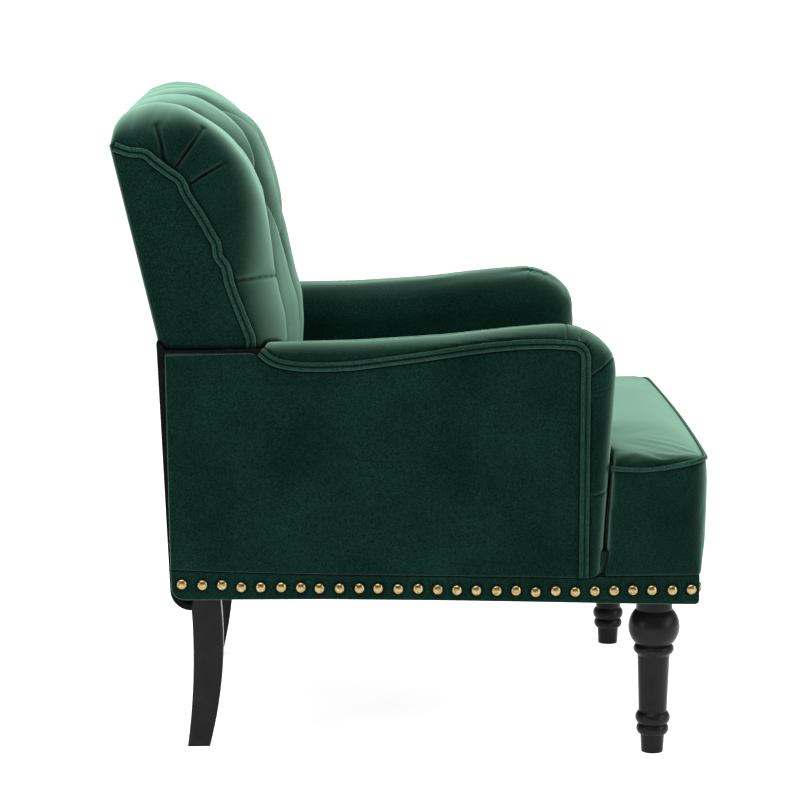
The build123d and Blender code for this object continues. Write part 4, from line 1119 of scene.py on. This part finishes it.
def side_band(side, sign):
    """Band along the side: tight front corner, rising underside and a round rear corner."""
    foot = height_on(UNDERSIDE, BASE_FRONT)
    turn = side_rear(250.0) - REAR_ROLL
    below = [(BASE_FRONT, foot + 6.0), (BASE_FRONT + 1.8, foot + 1.8), (BASE_FRONT + 6.0, foot)]
    below += [(y, height_on(UNDERSIDE, y)) for y in np.linspace(BASE_FRONT + 20.0, turn, 16)]
    lift = height_on(UNDERSIDE, turn) + REAR_ROLL
    quarter = np.linspace(0, math.pi / 2, 8)
    roll = [(turn + REAR_ROLL * math.sin(a), lift - REAR_ROLL * math.cos(a)) for a in quarter]
    along = np.linspace(side_rear(SEAM_REAR), BASE_FRONT, 18)
    seam = [(y, height_on(SEAM_LINE, y) - SEAM_GAP) for y in along]
    under = [(y, z - STRIP_HALF) for y, z in seam] + [(y, z + STRIP_HALF) for y, z in seam[::-1]]
    strip = slab(under, sign * (COVER_X - 4.9), sign * (COVER_X - 3.4))
    outline = below + roll[1:] + seam
    return panel_object(side + "_base_band", outline, sign, BAND_ROUND, [side + "_band"], strip)


def lifted_copy(node, gap):
    """A copy of a CAD node with its lower end lifted to the rising underside of the base."""
    mesh = welded_copy(node)
    places = coordinates(mesh) / MM
    low = places[:, 2] < BASE_LOW + 16.0
    lift = height_on(UNDERSIDE, places[low, 1]) + gap - BASE_LOW
    places[low, 2] += lift - 0.5 * (places[low, 2] - BASE_LOW)
    set_coordinates(mesh, places * MM)
    return mesh


def leg_cuff(x, y, radius):
    """Cover gathered round the top of a turned leg, as vertices and faces."""
    foot = height_on(UNDERSIDE, y)
    rings = [(0.0, 3.0), (0.80, 3.0), (0.79, 0.0), (0.75, -3.0), (0.68, -6.0), (0.58, -7.0), (0.0, -7.0)]
    sides = 48
    verts = []
    for share, height in rings:
        for k in range(sides):
            a = 2 * math.pi * k / sides
            r = max(share, 0.01) * radius * (1 + 0.02 * math.sin(11 * a))
            verts.append((x + r * math.cos(a), y + r * math.sin(a), foot + height))
    return verts, ring_faces(len(rings), sides, False)


for side, sign in (("left", 1), ("right", -1)):
    arm_side(side, sign)
    side_band(side, sign)
    back_cover(side, sign)
    node = side + "_seat_rail"
    add_object(side + "_side_rail", lifted_copy(node, 3.0), finishes[slots[node]], [node], 30)
for node, name, gap in (
    ("front_seat_rail", "front_rail", 3.0),
    ("rear_seat_rail", "rear_rail", 1.0),
    ("front_corner_blocks", "corner_blocks", 3.0),
    ("rear_leg_blocks", "leg_blocks", 3.0),
    ("dust_cover", "base_dust_cover", 0.6),
):
    add_object(name, lifted_copy(node, gap), finishes[slots[node]], [node], 30)

front_mesh = welded_copy("front_band")
places = coordinates(front_mesh) / MM
places[:, 0] *= (COVER_X - 5.2) / COVER_X
middle = places[:, 2].mean()
foot, seam = height_on(UNDERSIDE, BASE_FRONT), height_on(SEAM_LINE, BASE_FRONT)
places[:, 2] = np.where(places[:, 2] < middle, foot, seam - 0.2)
set_coordinates(front_mesh, places * MM)
round_edges(front_mesh, 1.5)
leg_low, leg_high = [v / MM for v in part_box("front_legs")]
ball = (leg_high.y - leg_low.y) / 2
cuffs = [leg_cuff(sign * (leg_high.x - ball), leg_low.y + ball, ball) for sign in (1, -1)]
outward(front_mesh, mesh_from("cuffs", cuffs))
add_object("front_base_band", front_mesh, green, ["front_band"], 50, 1)

leg_mesh = welded_copy("rear_legs")
places = coordinates(leg_mesh) / MM
top = places[:, 2] > BASE_LOW - 1.0
places[top, 2] = height_on(UNDERSIDE, places[top, 1]) + 2.0
set_coordinates(leg_mesh, places * MM)
add_object("sabre_legs", leg_mesh, finishes["black_legs"], ["rear_legs"], 35)

# Lower outside back in near-black dust cloth: real cloth, and its blackness also stands for the shade in the
# recess behind the side covers (painted shade).
lower_mesh = round_edges(welded_copy("lower_outside_back"), 1.5)
places = coordinates(lower_mesh)
places[:, 0] *= (COVER_X - 5.4) / COVER_X
outer = places[:, 1] > rear_face(places[:, 2] / MM) * MM - 2.0 * MM
share = np.clip((places[outer, 2] / MM - SEAM_REAR) / (JOINT - SEAM_REAR), 0, 1)
places[outer, 1] += REAR_SPREAD * MM * share
lip = outer & (places[:, 2] > (JOINT - 4.0) * MM)
places[lip, 2] += REAR_LIP * MM
set_coordinates(lower_mesh, places)
# A near-black sheet in the joint under the back unit, hiding the frame and standing in for the shadow in the
# gap (painted shadow).
joint_shadow_sheet = [(-146.0, -9.0), (-3.0, -9.0), (-3.0, 0.0), (-120.0, 0.0), (-120.0, 0.5), (-146.0, 0.5)]
shapes = [slab(from_rear(joint_shadow_sheet), sign * (COVER_X - 90.0), sign * (COVER_X - 3.2)) for sign in (1, -1)]
outward(lower_mesh, mesh_from("joint_shadow_sheet", shapes))
add_object("lower_back_cover", lower_mesh, finishes["dust_cloth"], ["lower_outside_back"], 50)


def padded_outside_back():
    """Outside back: a lightly crowned cover whose edges roll round to the sides."""
    half, high = BACK_SIDE_X - 0.3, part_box("outside_back")[1].z / MM
    quarter = np.linspace(0, math.pi / 2, 9)
    right = [(half - BACK_ROLL + BACK_ROLL * math.cos(a), BACK_ROLL * math.sin(a)) for a in quarter]
    flat = [(x, BACK_ROLL + BACK_CROWN * (1 - (x / (half - BACK_ROLL)) ** 2))
            for x in np.linspace(half - BACK_ROLL, BACK_ROLL - half, 40)[1:-1]]
    section = right + flat + [(-x, v) for x, v in right[::-1]]
    rows = []
    for z in np.linspace(JOINT - BACK_OVERHANG, high, 50):
        rear = BASE_REAR + (z - JOINT) * rear_lean - BACK_ROLL
        rows.append([(x, rear + v, z) for x, v in section])
    mesh = closed_grid_mesh("outside_back_cover", np.array(rows))
    return add_object("outside_back_cover", mesh, green, ["outside_back"], 50)


padded_outside_back()


# Welts
def double_welt(name, middle, depth, sign, node):
    """Two cords side by side over a flat flange, on a flat side of the chair."""
    shapes = []
    for shift in (-WELT_SHIFT, WELT_SHIFT):
        path = [(sign * (depth - WELT_SUNK), y, z) for y, z in offset_line(middle, shift)]
        shapes.append(tube(path, WELT_RADIUS))
    outline = np.vstack([offset_line(middle, -FLANGE_HALF), offset_line(middle, FLANGE_HALF)[::-1]])
    count = len(middle)
    verts = [(sign * (depth - d), y, z) for d in (FLANGE_TOP, FLANGE_BACK) for y, z in outline]
    faces = []
    for i in range(count - 1):
        a, b, c, d = i, i + 1, 2 * count - 2 - i, 2 * count - 1 - i
        faces += [(a, b, c, d), (d + 2 * count, c + 2 * count, b + 2 * count, a + 2 * count)]
    for i in range(2 * count):
        k = (i + 1) % (2 * count)
        faces.append((i, i + 2 * count, k + 2 * count, k))
    shapes.append((verts, faces))
    mesh = outward(mesh_from(name, shapes))
    return add_object(name, mesh, green_cord_lit, [node], 50)


for side, sign in (("left", 1), ("right", -1)):
    double_welt(side + "_arm_cords", arm_welt_line(WELT_INSET), COVER_X, sign, side + "_arm_welt")
    double_welt(side + "_back_cords", back_welt_middle, BACK_SIDE_X, sign, side + "_back_welt")
seat_cord = mesh_from("seat_cord", [tube(cord_line, CORD_RADIUS, 12)])
add_object("seat_cord", seat_cord, green_cord_lit, ["seat_welt"])


# Nails: one dome for each nail of the frame
def islands(node):
    """Middle of each separate piece of a CAD node, in millimetres."""
    mesh = welded_copy(node)
    bm = bmesh.new()
    bm.from_mesh(mesh)
    left, middles = set(bm.verts), []
    while left:
        stack, found = [left.pop()], []
        while stack:
            vert = stack.pop()
            found.append(vert.co.copy())
            for edge in vert.link_edges:
                other = edge.other_vert(vert)
                if other in left:
                    left.remove(other)
                    stack.append(other)
        low = Vector(min(v[i] for v in found) for i in range(3))
        high = Vector(max(v[i] for v in found) for i in range(3))
        middles.append((low + high) / 2 / MM)
    bm.free()
    bpy.data.meshes.remove(mesh)
    return sorted(middles, key=lambda v: tuple(v))


def nail_row(node, name, out):
    """Domed nail heads in place of a row of CAD heads."""
    out = Vector(out)
    places = islands(node)
    stray = np.random.default_rng(7).normal(0.0, NAIL_STRAY, (len(places), 3))
    shapes = []
    for place, shift in zip(places, stray):
        shift = Vector(shift) - out * out.dot(Vector(shift))
        place.z = height_on(SEAM_LINE, place.y) - NAIL_DROP
        shapes.append(button_shape(place + shift - out * NAIL_SUNK, out, NAIL_RADIUS, NAIL_HEIGHT))
    return add_object(name, mesh_from(name, shapes), finishes["antique_brass"], [node])


nail_row("left_nails", "left_nail_row", (1, 0, 0))
nail_row("right_nails", "right_nail_row", (-1, 0, 0))
nail_row("front_nails", "front_nail_row", (0, -1, 0))


# Floor, light and camera
FLOOR_HALF = 150.0  # metres


def white_floor():
    """A pale seamless floor."""
    mesh = bpy.data.meshes.new("floor")
    corners = [(x * FLOOR_HALF, y * FLOOR_HALF, 0) for x, y in ((-1, -1), (1, -1), (1, 1), (-1, 1))]
    mesh.from_pydata(corners, [], [(0, 1, 2, 3)])
    floor = linked("floor", mesh)
    material, tree, bsdf = shader("pale_floor")
    feed(tree, bsdf, {
        "Base Color": grey(0.9),
        "Roughness": 0.9,
        "Specular IOR Level": 0.0,
        "Emission Color": grey(1),
        "Emission Strength": 0.8,
    })
    mesh.materials.append(material)
    floor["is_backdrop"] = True


def aimed(name, data, place, direction):
    """A light or camera at a place, looking in a direction."""
    obj = linked(name, data)
    obj.location = place
    obj.rotation_mode = "QUATERNION"
    obj.rotation_quaternion = direction.to_track_quat("-Z", "Y")
    return obj


def area_light(name, place, target, size, power):
    """A soft square light aimed at a point."""
    light = bpy.data.lights.new(name, "AREA")
    light.size = size
    light.energy = power
    aimed(name, light, place, Vector(target) - Vector(place))


def studio_world():
    """Pale surroundings, dim on the side behind the camera."""
    world = bpy.data.worlds.new("studio")
    world.use_nodes = True
    sky = world.node_tree
    heading = new_node(sky, "TexCoord", {}).outputs["Generated"]
    split = new_node(sky, "SeparateXYZ", {"Vector": heading})
    share = new_node(sky, "MapRange", {"Value": split.outputs["X"], "From Min": -1.0})
    dim_side = ramp(sky, share.outputs["Result"], [(0.0, grey(0.2)), (0.14, grey(1))])
    feed(sky, sky.nodes["Background"], {"Color": dim_side, "Strength": 0.5})
    bpy.context.scene.world = world


white_floor()
studio_world()
area_light("top", (-0.4, 0.4, 2.7), (0, 0, 0.5), 2.4, 84.0)
area_light("front", (-1.0, -3.4, 1.8), (0, 0, 0.5), 1.8, 30.0)
area_light("right_box", (-1.7, -2.5, 0.8), (0, 0, 0.4), 0.7, 12.0)
area_light("left_box", (-1.7, 2.5, 0.8), (0, 0, 0.4), 0.7, 12.0)

camera = bpy.data.cameras.new("photo_view")
camera.lens = CAMERA_LENS
camera.sensor_width = 36.0
pan, tilt = math.radians(CAMERA_PAN), math.radians(CAMERA_TILT)
forward = Vector((math.cos(tilt) * math.cos(pan), math.cos(tilt) * math.sin(pan), -math.sin(tilt)))
bpy.context.scene.camera = aimed("photo_view", camera, CAMERA_PLACE, forward)
bpy.context.scene.view_settings.view_transform = "Standard"

low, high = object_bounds()
